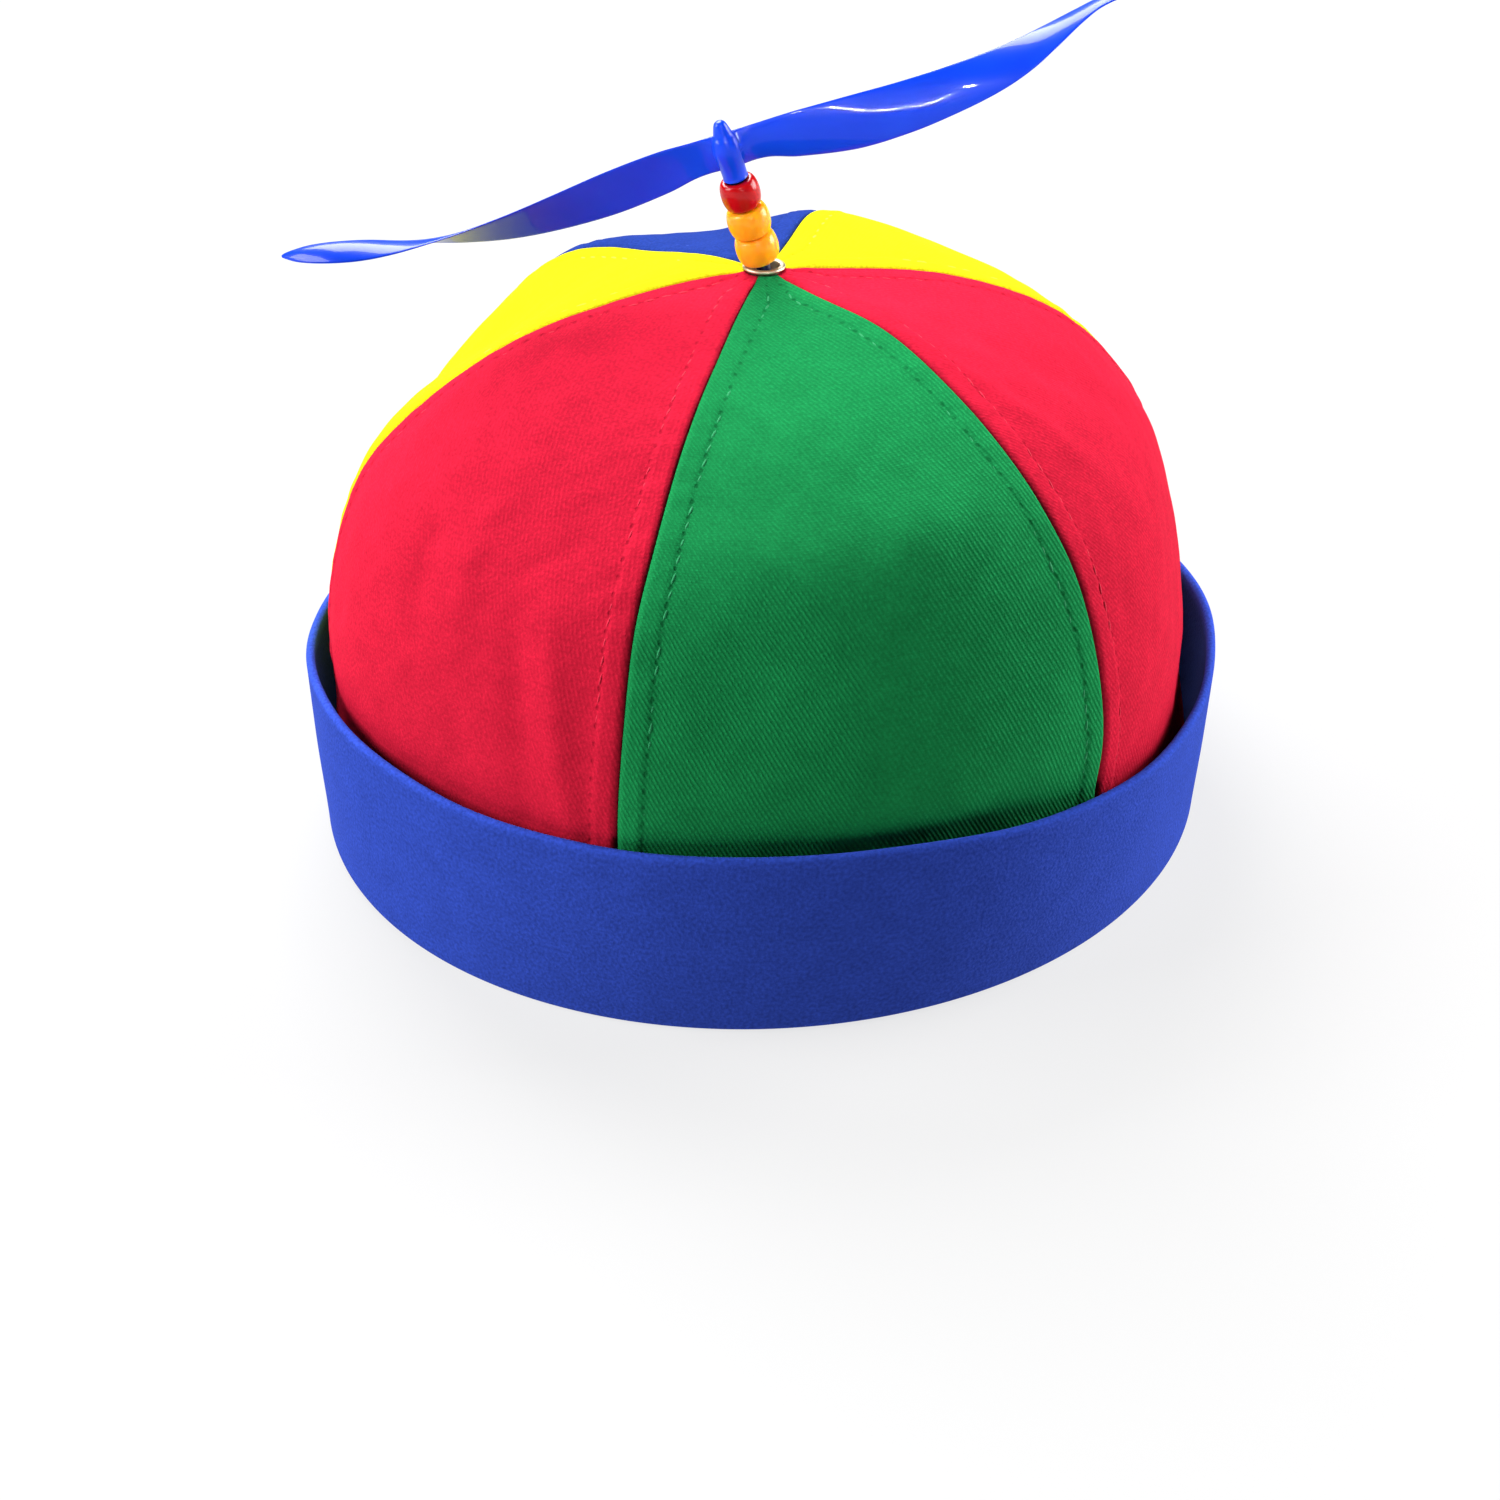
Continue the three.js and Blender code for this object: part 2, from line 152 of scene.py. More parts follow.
def smooth_curve(rows, closed, evenness):
    """Points of a smooth curve through the rows, 200 to a span. Evenness 0.25 stops it overshooting."""
    points = np.array(rows, float)
    if closed:
        held = np.vstack([points[-1:], points, points[:2]])
    else:
        held = np.vstack([2 * points[:1] - points[1:2], points, 2 * points[-1:] - points[-2:-1]])
    made = []
    for i in range(len(held) - 3):
        before, start, end, after = held[i : i + 4]
        gaps = [
            max(float(np.sum((q - p) ** 2)), 1e-12) ** evenness
            for p, q in ((before, start), (start, end), (end, after))
        ]
        leave = (start - before) / gaps[0] - (end - before) / (gaps[0] + gaps[1]) + (end - start) / gaps[1]
        arrive = (end - start) / gaps[1] - (after - start) / (gaps[1] + gaps[2]) + (after - end) / gaps[2]
        leave = leave * gaps[1]
        arrive = arrive * gaps[1]
        t = np.linspace(0, 1, 200, endpoint=False)[:, None]
        square = -3 * start + 3 * end - 2 * leave - arrive
        cube = 2 * start - 2 * end + leave + arrive
        made.append(start + leave * t + square * t**2 + cube * t**3)
    made.append(held[1 if closed else -2][None, :])
    return np.vstack(made)


def smooth_step(value, low, high):
    share = np.clip((value - low) / (high - low), 0, 1)
    return share * share * (3 - 2 * share)


profile_points = smooth_curve([(w, d, h) for h, w, d in CROWN_PROFILE], False, 0.25)
profile_steps = np.linalg.norm(np.diff(profile_points, axis=0), axis=1)
profile_level = np.concatenate([[0], np.cumsum(profile_steps)]) / profile_steps.sum()
relief_points = smooth_curve(RELIEF, True, 0)
relief_turn = np.linspace(0, 1, len(relief_points))


def crown_point(azimuth, level, inset=0.0):
    """Place on the crown's outer face, or inset from it, in millimetres."""
    width, depth, height = (np.interp(level, profile_level, profile_points[:, i]) for i in range(3))
    turn = (azimuth / (2 * math.pi)) % 1.0
    fullness = 0
    for i, (middle, spread) in enumerate(RELIEF_LEVELS):
        fullness = fullness + np.interp(turn, relief_turn, relief_points[:, i]) * np.exp(
            -(((level - middle) / spread) ** 2)
        )
    fullness = fullness * smooth_step(level, 0, 0.12) * smooth_step(1 - level, 0, 0.25)
    half_width = CROWN_HOLE_RADIUS + (CROWN_HALF_WIDTH - inset - CROWN_HOLE_RADIUS) * width
    half_depth = CROWN_HOLE_RADIUS + (CROWN_HALF_DEPTH - inset - CROWN_HOLE_RADIUS) * depth
    reach = 1 + fullness
    rise = (CROWN_HEIGHT - inset - CROWN_BASE) * height * (1 + fullness * height)
    return np.stack(
        [
            half_width * reach * np.sin(azimuth),
            -half_depth * reach * np.cos(azimuth),
            CROWN_BASE + rise,
        ],
        axis=-1,
    )


def crown_normal(azimuth, level):
    step = 0.002
    across = crown_point(azimuth + step, level) - crown_point(azimuth - step, level)
    above = crown_point(azimuth, np.minimum(level + step, 1))
    below = crown_point(azimuth, np.maximum(level - step, 0))
    normal = np.cross(across, above - below)
    return normal / np.linalg.norm(normal, axis=-1, keepdims=True)


def ripple(where, wavelengths, seed):
    """Irregular waves along a line, between about -1 and 1."""
    chance = np.random.default_rng(seed)
    total = 0
    for length in wavelengths:
        total = total + np.sin(2 * math.pi * where / length + chance.uniform(0, 2 * math.pi))
    return total / len(wavelengths)


def unevenness(u, v, wavelengths, seed):
    """Irregular soft waves over a cloth, between about -1 and 1."""
    chance = np.random.default_rng(seed)
    total = 0
    for length in wavelengths:
        heading = chance.uniform(0, math.pi)
        along = u * math.cos(heading) + v * math.sin(heading)
        total = total + np.sin(2 * math.pi * along / length + chance.uniform(0, 2 * math.pi))
    return total / len(wavelengths)


def fold_height(azimuth, level):
    """How far the soft folds lift the cloth at a place, in millimetres."""
    total = np.zeros_like(azimuth)
    for fold in FOLDS:
        turn = (azimuth - math.radians(fold["azimuth"]) + math.pi) % (2 * math.pi) - math.pi
        east = turn * FOLD_RADIUS
        north = (level - fold["level"]) * LEVEL_LENGTH
        lean = math.radians(fold["lean_deg"])
        aside = east * math.cos(lean) - north * math.sin(lean)
        along = east * math.sin(lean) + north * math.cos(lean)
        total = total + fold["rise"] * np.exp(-((aside / fold["wide"]) ** 2) - (along / fold["long"]) ** 2)
    return total * smooth_step(level, 0.03, 0.15)


def linear(hex_colour):
    """An sRGB hex colour as Blender's linear colour."""
    made = []
    for i in (1, 3, 5):
        value = int(hex_colour[i : i + 2], 16) / 255
        made.append(value / 12.92 if value <= 0.04045 else ((value + 0.055) / 1.055) ** 2.4)
    return (*made, 1.0)


def add(tree, kind, settings=None, inputs=None):
    """A node with its settings, and with each input linked to a socket or set to a value."""
    node = tree.nodes.new(kind)
    for name, value in (settings or {}).items():
        setattr(node, name, value)
    for name, value in (inputs or {}).items():
        if isinstance(value, bpy.types.NodeSocket):
            tree.links.new(value, node.inputs[name])
        else:
            node.inputs[name].default_value = value
    return node


# Twill ribs lie 0.8 mm apart and fall to the right at 62 degrees. Fibres clump at about 0.7 mm
RIB_SPACING = 0.8
RIB_FALL_DEG = -62
YARN_SPACING = 0.5
CLUMP_SIZE = 0.7
MOTTLE_SIZE = 7
YARN_SHARE = 0.3
RIB_WANDER = 0.5
RIB_WANDER_SCALE = 90.0
RIB_RELIEF = 7
FIBRE_RELIEF = 12
WEAVE_DEPTH = 0.06
NEEDLE_HOLE_WIDE = 0.42
NEEDLE_HOLE_LONG = 0.6
NEEDLE_HOLE_DEPTH = 2.0
THREAD_TWIST_SCALE = 2600.0
THREAD_TWIST_DEPTH = 0.06


def cotton_twill(name, dye, ribs, grain, fuzz, fuzz_colour, needle_hole_shade=0.0, lighter_rim_and_shade=0.0):
    """Dyed cotton twill: matt, with fine slanting ribs, uneven dye and a soft light fuzz at grazing angles.
    Sewn cloth gets painted shade in a dark needle hole at each end of a stitch. A folded band can be
    drawn lighter along its fold's edge, and its inside darker as painted shade."""
    material = bpy.data.materials.new(name)
    material.use_nodes = True
    tree = material.node_tree
    shader = tree.nodes["Principled BSDF"]
    cloth = add(tree, "ShaderNodeUVMap", {"uv_map": "cloth"}).outputs["UV"]
    wander = add(
        tree, "ShaderNodeTexNoise", {}, {"Vector": cloth, "Scale": RIB_WANDER_SCALE, "Detail": 2.0}
    )
    bent = add(
        tree,
        "ShaderNodeVectorMath",
        {"operation": "MULTIPLY_ADD"},
        {0: wander.outputs["Color"], 1: (RIB_WANDER * MM, RIB_WANDER * MM, 0.0), 2: cloth},
    )
    fall = math.radians(RIB_FALL_DEG)
    rib_turns = 2 * math.pi / (RIB_SPACING * MM)
    yarn_turns = 2 * math.pi / (YARN_SPACING * MM)
    rib_place = add(
        tree,
        "ShaderNodeVectorMath",
        {"operation": "DOT_PRODUCT"},
        {0: bent.outputs["Vector"], 1: (-math.sin(fall) * rib_turns, math.cos(fall) * rib_turns, 0.0)},
    )
    rib = add(tree, "ShaderNodeMath", {"operation": "SINE"}, {0: rib_place.outputs["Value"]})
    yarn_place = add(
        tree,
        "ShaderNodeVectorMath",
        {"operation": "DOT_PRODUCT"},
        {0: bent.outputs["Vector"], 1: (0.0, yarn_turns, 0.0)},
    )
    yarn = add(tree, "ShaderNodeMath", {"operation": "SINE"}, {0: yarn_place.outputs["Value"]})
    woven = add(
        tree,
        "ShaderNodeMath",
        {"operation": "MULTIPLY_ADD"},
        {0: yarn.outputs["Value"], 1: YARN_SHARE, 2: rib.outputs["Value"]},
    )
    fibres = add(
        tree, "ShaderNodeTexNoise", {}, {"Vector": cloth, "Scale": 1 / (CLUMP_SIZE * MM), "Detail": 3.0}
    )
    worn = add(
        tree,
        "ShaderNodeMapRange",
        {},
        {"Value": fibres.outputs["Fac"], "From Min": 0.3, "From Max": 0.7, "To Min": 0.2, "To Max": 1.6},
    )
    weave = add(
        tree,
        "ShaderNodeMath",
        {"operation": "MULTIPLY"},
        {0: woven.outputs["Value"], 1: worn.outputs["Result"]},
    )
    mottle = add(
        tree,
        "ShaderNodeTexNoise",
        {},
        {"Vector": cloth, "Scale": 1 / (MOTTLE_SIZE * MM), "Detail": 4.0, "Roughness": 0.65},
    )
    light = add(
        tree,
        "ShaderNodeMapRange",
        {},
        {
            "Value": weave.outputs["Value"],
            "From Min": -1 - YARN_SHARE,
            "From Max": 1 + YARN_SHARE,
            "To Min": 1 - ribs,
            "To Max": 1 + ribs,
        },
    ).outputs["Result"]
    fibre_light = add(
        tree,
        "ShaderNodeMapRange",
        {},
        {
            "Value": fibres.outputs["Fac"],
            "From Min": 0.3,
            "From Max": 0.7,
            "To Min": 1 - grain,
            "To Max": 1 + grain,
        },
    )
    mottle_light = add(
        tree,
        "ShaderNodeMapRange",
        {},
        {"Value": mottle.outputs["Fac"], "From Min": 0.3, "From Max": 0.7, "To Min": 0.91, "To Max": 1.09},
    )
    for shade in (fibre_light, mottle_light):
        light = add(
            tree, "ShaderNodeMath", {"operation": "MULTIPLY"}, {0: light, 1: shade.outputs["Result"]}
        ).outputs["Value"]
    ribbed = add(
        tree,
        "ShaderNodeMath",
        {"operation": "MULTIPLY"},
        {0: weave.outputs["Value"], 1: ribs * RIB_RELIEF},
    )
    relief = add(
        tree,
        "ShaderNodeMath",
        {"operation": "MULTIPLY_ADD"},
        {0: fibres.outputs["Fac"], 1: grain * FIBRE_RELIEF, 2: ribbed.outputs["Value"]},
    ).outputs["Value"]
    # Painted shade: a dark spot at each needle hole, standing in for the shade inside the hole, which the
    # bump also sinks
    if needle_hole_shade:
        row = add(tree, "ShaderNodeUVMap", {"uv_map": "stitch_row"}).outputs["UV"]
        parts = add(tree, "ShaderNodeSeparateXYZ", {}, {"Vector": row})
        beat = add(
            tree,
            "ShaderNodeMath",
            {"operation": "MULTIPLY_ADD"},
            {0: parts.outputs["Y"], 1: 1 / (STITCH_PITCH * MM), 2: 0.5},
        )
        nearest = add(tree, "ShaderNodeMath", {"operation": "ROUND"}, {0: beat.outputs["Value"]})
        along = add(
            tree,
            "ShaderNodeMath",
            {"operation": "SUBTRACT"},
            {0: beat.outputs["Value"], 1: nearest.outputs["Value"]},
        )
        spot = add(
            tree,
            "ShaderNodeCombineXYZ",
            {},
            {"X": parts.outputs["X"], "Y": along.outputs["Value"], "Z": 0.0},
        )
        scaled = add(
            tree,
            "ShaderNodeVectorMath",
            {"operation": "MULTIPLY"},
            {
                0: spot.outputs["Vector"],
                1: (1 / (NEEDLE_HOLE_WIDE * MM), STITCH_PITCH / NEEDLE_HOLE_LONG, 0.0),
            },
        )
        away = add(tree, "ShaderNodeVectorMath", {"operation": "LENGTH"}, {0: scaled.outputs["Vector"]})
        hole = add(
            tree,
            "ShaderNodeMapRange",
            {"interpolation_type": "SMOOTHSTEP"},
            {
                "Value": away.outputs["Value"],
                "From Min": 0.35,
                "From Max": 1.3,
                "To Min": 1.0,
                "To Max": 0.0,
            },
        )
        hole_shade = add(
            tree,
            "ShaderNodeMath",
            {"operation": "MULTIPLY_ADD"},
            {0: hole.outputs["Result"], 1: -needle_hole_shade, 2: 1.0},
        )
        light = add(
            tree, "ShaderNodeMath", {"operation": "MULTIPLY"}, {0: light, 1: hole_shade.outputs["Value"]}
        ).outputs["Value"]
        relief = add(
            tree,
            "ShaderNodeMath",
            {"operation": "MULTIPLY_ADD"},
            {0: hole.outputs["Result"], 1: -NEEDLE_HOLE_DEPTH, 2: relief},
        ).outputs["Value"]
    # Cuff only: a lighter line along the rim's fold, and painted shade that darkens the band's inside
    if lighter_rim_and_shade:
        edge = add(tree, "ShaderNodeAttribute", {"attribute_name": "rim_and_inside_shade_value"})
        rim_and_inside_factor = add(
            tree,
            "ShaderNodeMath",
            {"operation": "MULTIPLY_ADD"},
            {0: edge.outputs["Fac"], 1: lighter_rim_and_shade, 2: 1.0},
        )
        light = add(
            tree, "ShaderNodeMath", {"operation": "MULTIPLY"}, {0: light, 1: rim_and_inside_factor.outputs["Value"]}
        ).outputs["Value"]
    dyed = add(
        tree, "ShaderNodeVectorMath", {"operation": "SCALE"}, {0: linear(dye)[:3], "Scale": light}
    )
    tree.links.new(dyed.outputs["Vector"], shader.inputs["Base Color"])
    bump = add(
        tree,
        "ShaderNodeBump",
        {},
        {"Height": relief, "Strength": 1.0, "Distance": WEAVE_DEPTH * MM},
    )
    tree.links.new(bump.outputs["Normal"], shader.inputs["Normal"])
    shader.inputs["Roughness"].default_value = 0.88
    shader.inputs["Specular IOR Level"].default_value = 0.02
    shader.inputs["Sheen Weight"].default_value = fuzz
    shader.inputs["Sheen Roughness"].default_value = 0.45
    shader.inputs["Sheen Tint"].default_value = linear(fuzz_colour)
    return material


def sewing_thread(name, colour):
    """Spun polyester thread: a little shinier than the cloth, with a fine twist."""
    material = bpy.data.materials.new(name)
    material.use_nodes = True
    tree = material.node_tree
    shader = tree.nodes["Principled BSDF"]
    place = add(tree, "ShaderNodeTexCoord").outputs["Object"]
    twist = add(
        tree, "ShaderNodeTexNoise", {}, {"Vector": place, "Scale": THREAD_TWIST_SCALE, "Detail": 2.0}
    )
    shade = add(
        tree,
        "ShaderNodeMapRange",
        {},
        {"Value": twist.outputs["Fac"], "From Min": 0.3, "From Max": 0.7, "To Min": 0.75, "To Max": 1.15},
    )
    dyed = add(
        tree,
        "ShaderNodeVectorMath",
        {"operation": "SCALE"},
        {0: linear(colour)[:3], "Scale": shade.outputs["Result"]},
    )
    tree.links.new(dyed.outputs["Vector"], shader.inputs["Base Color"])
    bump = add(
        tree,
        "ShaderNodeBump",
        {},
        {"Height": twist.outputs["Fac"], "Distance": THREAD_TWIST_DEPTH * MM},
    )
    tree.links.new(bump.outputs["Normal"], shader.inputs["Normal"])
    shader.inputs["Roughness"].default_value = 0.6
    shader.inputs["Specular IOR Level"].default_value = 0.15
    return material


def finished(form, name, material, body, replaced=()):
    """The bmesh as a smooth piece at the origin, riding on its body. The bmesh is in millimetres."""
    bmesh.ops.scale(form, vec=(MM, MM, MM), verts=form.verts)
    mesh = bpy.data.meshes.new(name)
    form.to_mesh(mesh)
    form.free()
    mesh.shade_smooth()
    mesh.materials.append(material)
    piece = bpy.data.objects.new(name, mesh)
    bpy.context.scene.collection.objects.link(piece)
    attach(piece, body)
    if replaced:
        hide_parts(*replaced)
    return piece


def lay_map(mesh, name, places, around=0.0):
    """A flat map of the cloth, in metres. Around is the length at which a closed band meets itself."""
    corner = np.zeros(len(mesh.loops), int)
    mesh.loops.foreach_get("vertex_index", corner)
    flat = places[corner].copy()
    if around:
        faces = flat[:, 0].reshape(-1, 4)
        crossing = faces.max(axis=1) - faces.min(axis=1) > around / 2
        faces[crossing] = np.where(faces[crossing] < around / 2, faces[crossing] + around, faces[crossing])
    layer = mesh.uv_layers.new(name=name)
    layer.data.foreach_set("uv", (flat * MM).astype(np.float32).ravel())


level_steps = np.linspace(0, 1, LEVELS)
for place, panel in enumerate(PANELS):
    seam_before = math.radians(PANELS[place - 1]["seam"] - (360 if place == 0 else 0))
    seam_after = math.radians(panel["seam"])
    middle_azimuth = (seam_before + seam_after) / 2
    spine = crown_point(np.full(LEVELS, middle_azimuth), level_steps)
    lengths = np.linalg.norm(np.diff(spine, axis=0), axis=1)
    length_at = np.concatenate([[0], np.cumsum(lengths)])
    slices = np.linspace(seam_before, seam_after, SLICES)
    strips = np.stack([crown_point(np.full(LEVELS, a), level_steps) for a in slices])
    width_at = np.linalg.norm(np.diff(strips, axis=0), axis=2).sum(axis=0)

    form = bmesh.new()
    for layer in range(2):
        bmesh.ops.create_grid(form, x_segments=PANEL_COLUMNS, y_segments=PANEL_ROWS, size=0.5)
    form.verts.ensure_lookup_table()
    grid = np.array([v.co[:2] for v in form.verts]) + 0.5
    half = len(grid) // 2
    share, level = grid[:, 0], np.clip(grid[:, 1], 0, 1)
    width = np.interp(level, level_steps, width_at)
    along = np.interp(level, level_steps, length_at)
    zone = np.minimum(EDGE_ZONE, EDGE_WIDTH_SHARE * width)
    near = np.minimum(share, 1 - share)
    edge = near / EDGE_COLUMN_SHARE
    inward = (near - EDGE_COLUMN_SHARE) / (0.5 - EDGE_COLUMN_SHARE)
    from_seam = np.where(
        near < EDGE_COLUMN_SHARE,
        zone * (0.35 * edge + 0.65 * edge**2),
        zone + (width / 2 - zone) * inward,
    )
    side = np.where(share < 0.5, -1.0, 1.0)
    clearance = SEAM_CLEARANCE / np.maximum(width, 1)
    across = 0.5 + side * (0.5 - from_seam / width) * (1 - 2 * clearance)
    azimuth = seam_before + (seam_after - seam_before) * across
    outer = crown_point(azimuth, level)
    normal = crown_normal(azimuth, level)

    stitch_line = np.minimum(STITCH_FROM_SEAM, STITCH_WIDTH_SHARE * width)
    rolled = np.clip(SEAM_ROLL - from_seam, 0, SEAM_ROLL)
    roll = np.sqrt(np.maximum(SEAM_ROLL**2 - rolled**2, 0)) - SEAM_ROLL
    lift = ALLOWANCE_LIFT * smooth_step(from_seam, 0.2, 1.4) * (
        1 - smooth_step(from_seam, stitch_line - 0.5, stitch_line + 1.0)
    )
    stitch_beat = 0.75 + 0.25 * np.cos(2 * math.pi * along / STITCH_PITCH)
    channel = -STITCH_CHANNEL * stitch_beat * np.exp(-(((from_seam - stitch_line) / 0.5) ** 2))
    side_seed = np.where(side < 0, 0.0, 57.0)
    pucker = (
        PUCKER_DEPTH
        * ripple(along + side_seed, (5.3, 7.1, 9.7, 13.9), 11 + place)
        * np.exp(-(((from_seam - 0.75 * stitch_line) / (0.55 * stitch_line)) ** 2))
    )
    flat_u = side * (width / 2 - from_seam)
    soft = unevenness(flat_u, along, (17, 23, 31, 43, 61), 31 + place)
    fine = unevenness(flat_u, along, (6.1, 8.3, 10.7), 71 + place)
    settle = smooth_step(from_seam, 0, 5) * smooth_step(1 - level, 0, 0.06)
    height = roll + lift + channel + pucker * smooth_step(from_seam, 0, 1.2)
    folds = fold_height(azimuth, level)
    height = height + settle * (SOFT_WAVES * soft + FINE_WAVES * fine) + folds
    height = height * smooth_step(1 - level, 0, 0.03)
    depth = np.full(len(grid), 0.0)
    depth[half:] = PANEL_THICKNESS
    inner_height = -depth + INSIDE_SHARE * (lift + channel) + settle * SOFT_WAVES * soft + folds
    final = outer + normal * np.where(depth > 0, inner_height, height)[:, None]
    for vertex, spot in zip(form.verts, final):
        vertex.co = spot
    bmesh.ops.reverse_faces(form, faces=[f for f in form.faces if f.verts[0].index >= half])
    bmesh.ops.bridge_loops(form, edges=[e for e in form.edges if e.is_boundary])
    form.verts.index_update()
    slot = "cotton_" + panel["name"].split("_")[0]
    material = cotton_twill(
        "dyed_cotton_twill_" + panel["name"],
        panel["dye"],
        panel["ribs"],
        grain=0.18,
        fuzz=0.25,
        fuzz_colour=panel["dye"],
        needle_hole_shade=panel["painted_hole_shade"],
    )
    piece = finished(
        form, "cloth_" + panel["name"], material, "hat", ["panel_" + panel["name"]]
    )
    lay_map(piece.data, "cloth", np.stack([flat_u, along], axis=1))
    lay_map(piece.data, "stitch_row", np.stack([from_seam - stitch_line, along], axis=1))

    # The two rows of topstitching: a short length of thread for each stitch, sunk into its channel
    thread = bmesh.new()
    count = int(length_at[-1] / STITCH_PITCH)
    for side_sign in (-1, 1):
        for number in range(1, count - 1):
            middle = number * STITCH_PITCH
            at_level = float(np.interp(middle, length_at, level_steps))
            local_width = float(np.interp(at_level, level_steps, width_at))
            line = min(STITCH_FROM_SEAM, STITCH_WIDTH_SHARE * local_width)
            if local_width < NARROWEST_SEWN:
                continue
            turn_share = 0.5 + side_sign * (0.5 - line / local_width)
            turn = seam_before + (seam_after - seam_before) * turn_share
            ahead_level = float(np.interp(middle + 1, length_at, level_steps))
            ahead_width = float(np.interp(ahead_level, level_steps, width_at))
            ahead_line = min(STITCH_FROM_SEAM, STITCH_WIDTH_SHARE * ahead_width)
            ahead_share = 0.5 + side_sign * (0.5 - ahead_line / ahead_width)
            ahead_turn = seam_before + (seam_after - seam_before) * ahead_share
            spot = Vector(crown_point(np.float64(turn), np.float64(at_level)))
            ahead = Vector(crown_point(np.float64(ahead_turn), np.float64(ahead_level)))
            out = Vector(crown_normal(np.float64(turn), np.float64(at_level)))
            spot = spot + out * float(fold_height(np.float64(turn), np.float64(at_level)))
            ahead = ahead + out * float(fold_height(np.float64(ahead_turn), np.float64(ahead_level)))
            forward = (ahead - spot).normalized()
            sideways = out.cross(forward).normalized()
            tilt = Matrix.Rotation(math.radians(-STITCH_TILT_DEG), 3, out)
            turned = (tilt @ Matrix((sideways, out, forward)).transposed()).to_4x4()
            size = Matrix.Diagonal((THREAD_RADIUS, THREAD_RADIUS, STITCH_LENGTH / 2, 1))
            sunk = spot - out * (STITCH_CHANNEL * THREAD_SINK_SHARE)
            bmesh.ops.create_uvsphere(
                thread,
                u_segments=7,
                v_segments=5,
                radius=1,
                matrix=Matrix.Translation(sunk) @ turned @ size,
            )
    finished(
        thread,
        "stitches_" + panel["name"],
        sewing_thread("spun_thread_" + panel["name"], panel["thread"]),
        "hat",
    )

# Cuff: one band of the same twill in blue, doubled and folded up round the crown's edge.
# It stands on its fold. Its rim is a soft fold too, and the band is joined end to end at the back.
CUFF_HEIGHT = 41
CUFF_THICKNESS = 1.8
FOLD_THICKNESS = 2
POCKET_OPENING = 2.5
CLEARANCE = 0.3
CUFF_FOLD_RADIUS = 1.5
CUFF_LIP_RADIUS = 0.95
CUFF_AROUND = 640
CUFF_SWELL = 0.55
CUFF_INSIDE_PAINTED_SHADE = 2.6
CUFF_MEAN_RADIUS = 93
BAND_LENGTH = 584.34
BAND_CLOSING_LENGTH = 1.5
JOIN_DEPTH = 0.5
JOIN_HALF_WIDTH = 0.55
LIGHTER_RIM_HEIGHT = 1.1

# Height of the rim and opening behind it every 45 degrees, as shares
RIM = [
    (1.16, 0.2),
    (0.985, 0.05),
    (0.97, 1.1),
    (0.82, 0.1),
    (0.83, 0.2),
    (0.85, 0.05),
    (1.03, 1.1),
    (1.085, 0.05),
]

# How far the band has spread from its base at each share of its height
CUFF_RISE = [(0, 0), (0.2, 0.24), (0.45, 0.51), (0.7, 0.745), (0.88, 0.9), (1, 1)]

rim_points = smooth_curve(RIM, True, 0)
rim_turn = np.linspace(0, 1, len(rim_points))
rise_points = smooth_curve(CUFF_RISE, False, 0.25)

# The band's section: distance out from the wall's inner face, then height as a fixed part and a part
# that grows with the rim. It runs from the lip under the crown, out along the floor, up, over and back
section = []
lip_out = -PANEL_THICKNESS - 2 * CLEARANCE + CUFF_LIP_RADIUS
for turn in np.linspace(-math.pi / 2, -3 * math.pi / 2, 7):
    section.append((lip_out + CUFF_LIP_RADIUS * math.cos(turn), 1 + math.sin(turn), 0))
section.reverse()
for share in np.linspace(0.1, 0.9, 3):
    floor_end = CUFF_THICKNESS - CUFF_FOLD_RADIUS
    section.append((lip_out + (floor_end - lip_out) * share, 0, 0))
for turn in np.linspace(-math.pi / 2, 0, 7):
    out = CUFF_THICKNESS - CUFF_FOLD_RADIUS + CUFF_FOLD_RADIUS * math.cos(turn)
    section.append((out, CUFF_FOLD_RADIUS * (1 + math.sin(turn)), 0))
for share in np.linspace(0, 1, 41)[1:-1]:
    top = CUFF_THICKNESS / 2
    section.append((CUFF_THICKNESS, CUFF_FOLD_RADIUS - share * (CUFF_FOLD_RADIUS + top), share))
for turn in np.linspace(0, math.pi, 11):
    out = CUFF_THICKNESS / 2 * (1 + math.cos(turn))
    section.append((out, CUFF_THICKNESS / 2 * (math.sin(turn) - 1), 1))
for share in np.linspace(1, 0, 31)[1:]:
    low = FOLD_THICKNESS
    section.append((0, low - share * (low + CUFF_THICKNESS / 2), share))
section.append((-0.75, FOLD_THICKNESS, 0))
section = np.array(section)

form = bmesh.new()
bmesh.ops.create_grid(form, x_segments=CUFF_AROUND, y_segments=len(section), size=0.5)
form.verts.ensure_lookup_table()
grid = np.array([v.co[:2] for v in form.verts]) + 0.5
row = np.rint(grid[:, 1] * len(section)).astype(int)
turn = (grid[:, 0] + 0.5) % 1.0
azimuth = 2 * math.pi * turn
rim_height = np.interp(turn, rim_turn, rim_points[:, 0]) * CUFF_HEIGHT
opening = np.interp(turn, rim_turn, rim_points[:, 1]) * POCKET_OPENING
out, fixed, grows = (section[row % len(section), i] for i in range(3))
height = fixed + grows * rim_height
height_share = np.clip(height / rim_height, 0, 1)
flare = np.interp(height_share, rise_points[:, 0], rise_points[:, 1])
base_width = CROWN_HOLE_RADIUS + (CROWN_HALF_WIDTH - CROWN_HOLE_RADIUS) * CROWN_PROFILE[0][1] + CLEARANCE
base_depth = CROWN_HOLE_RADIUS + (CROWN_HALF_DEPTH - CROWN_HOLE_RADIUS) * CROWN_PROFILE[0][2] + CLEARANCE
around = azimuth * CUFF_MEAN_RADIUS
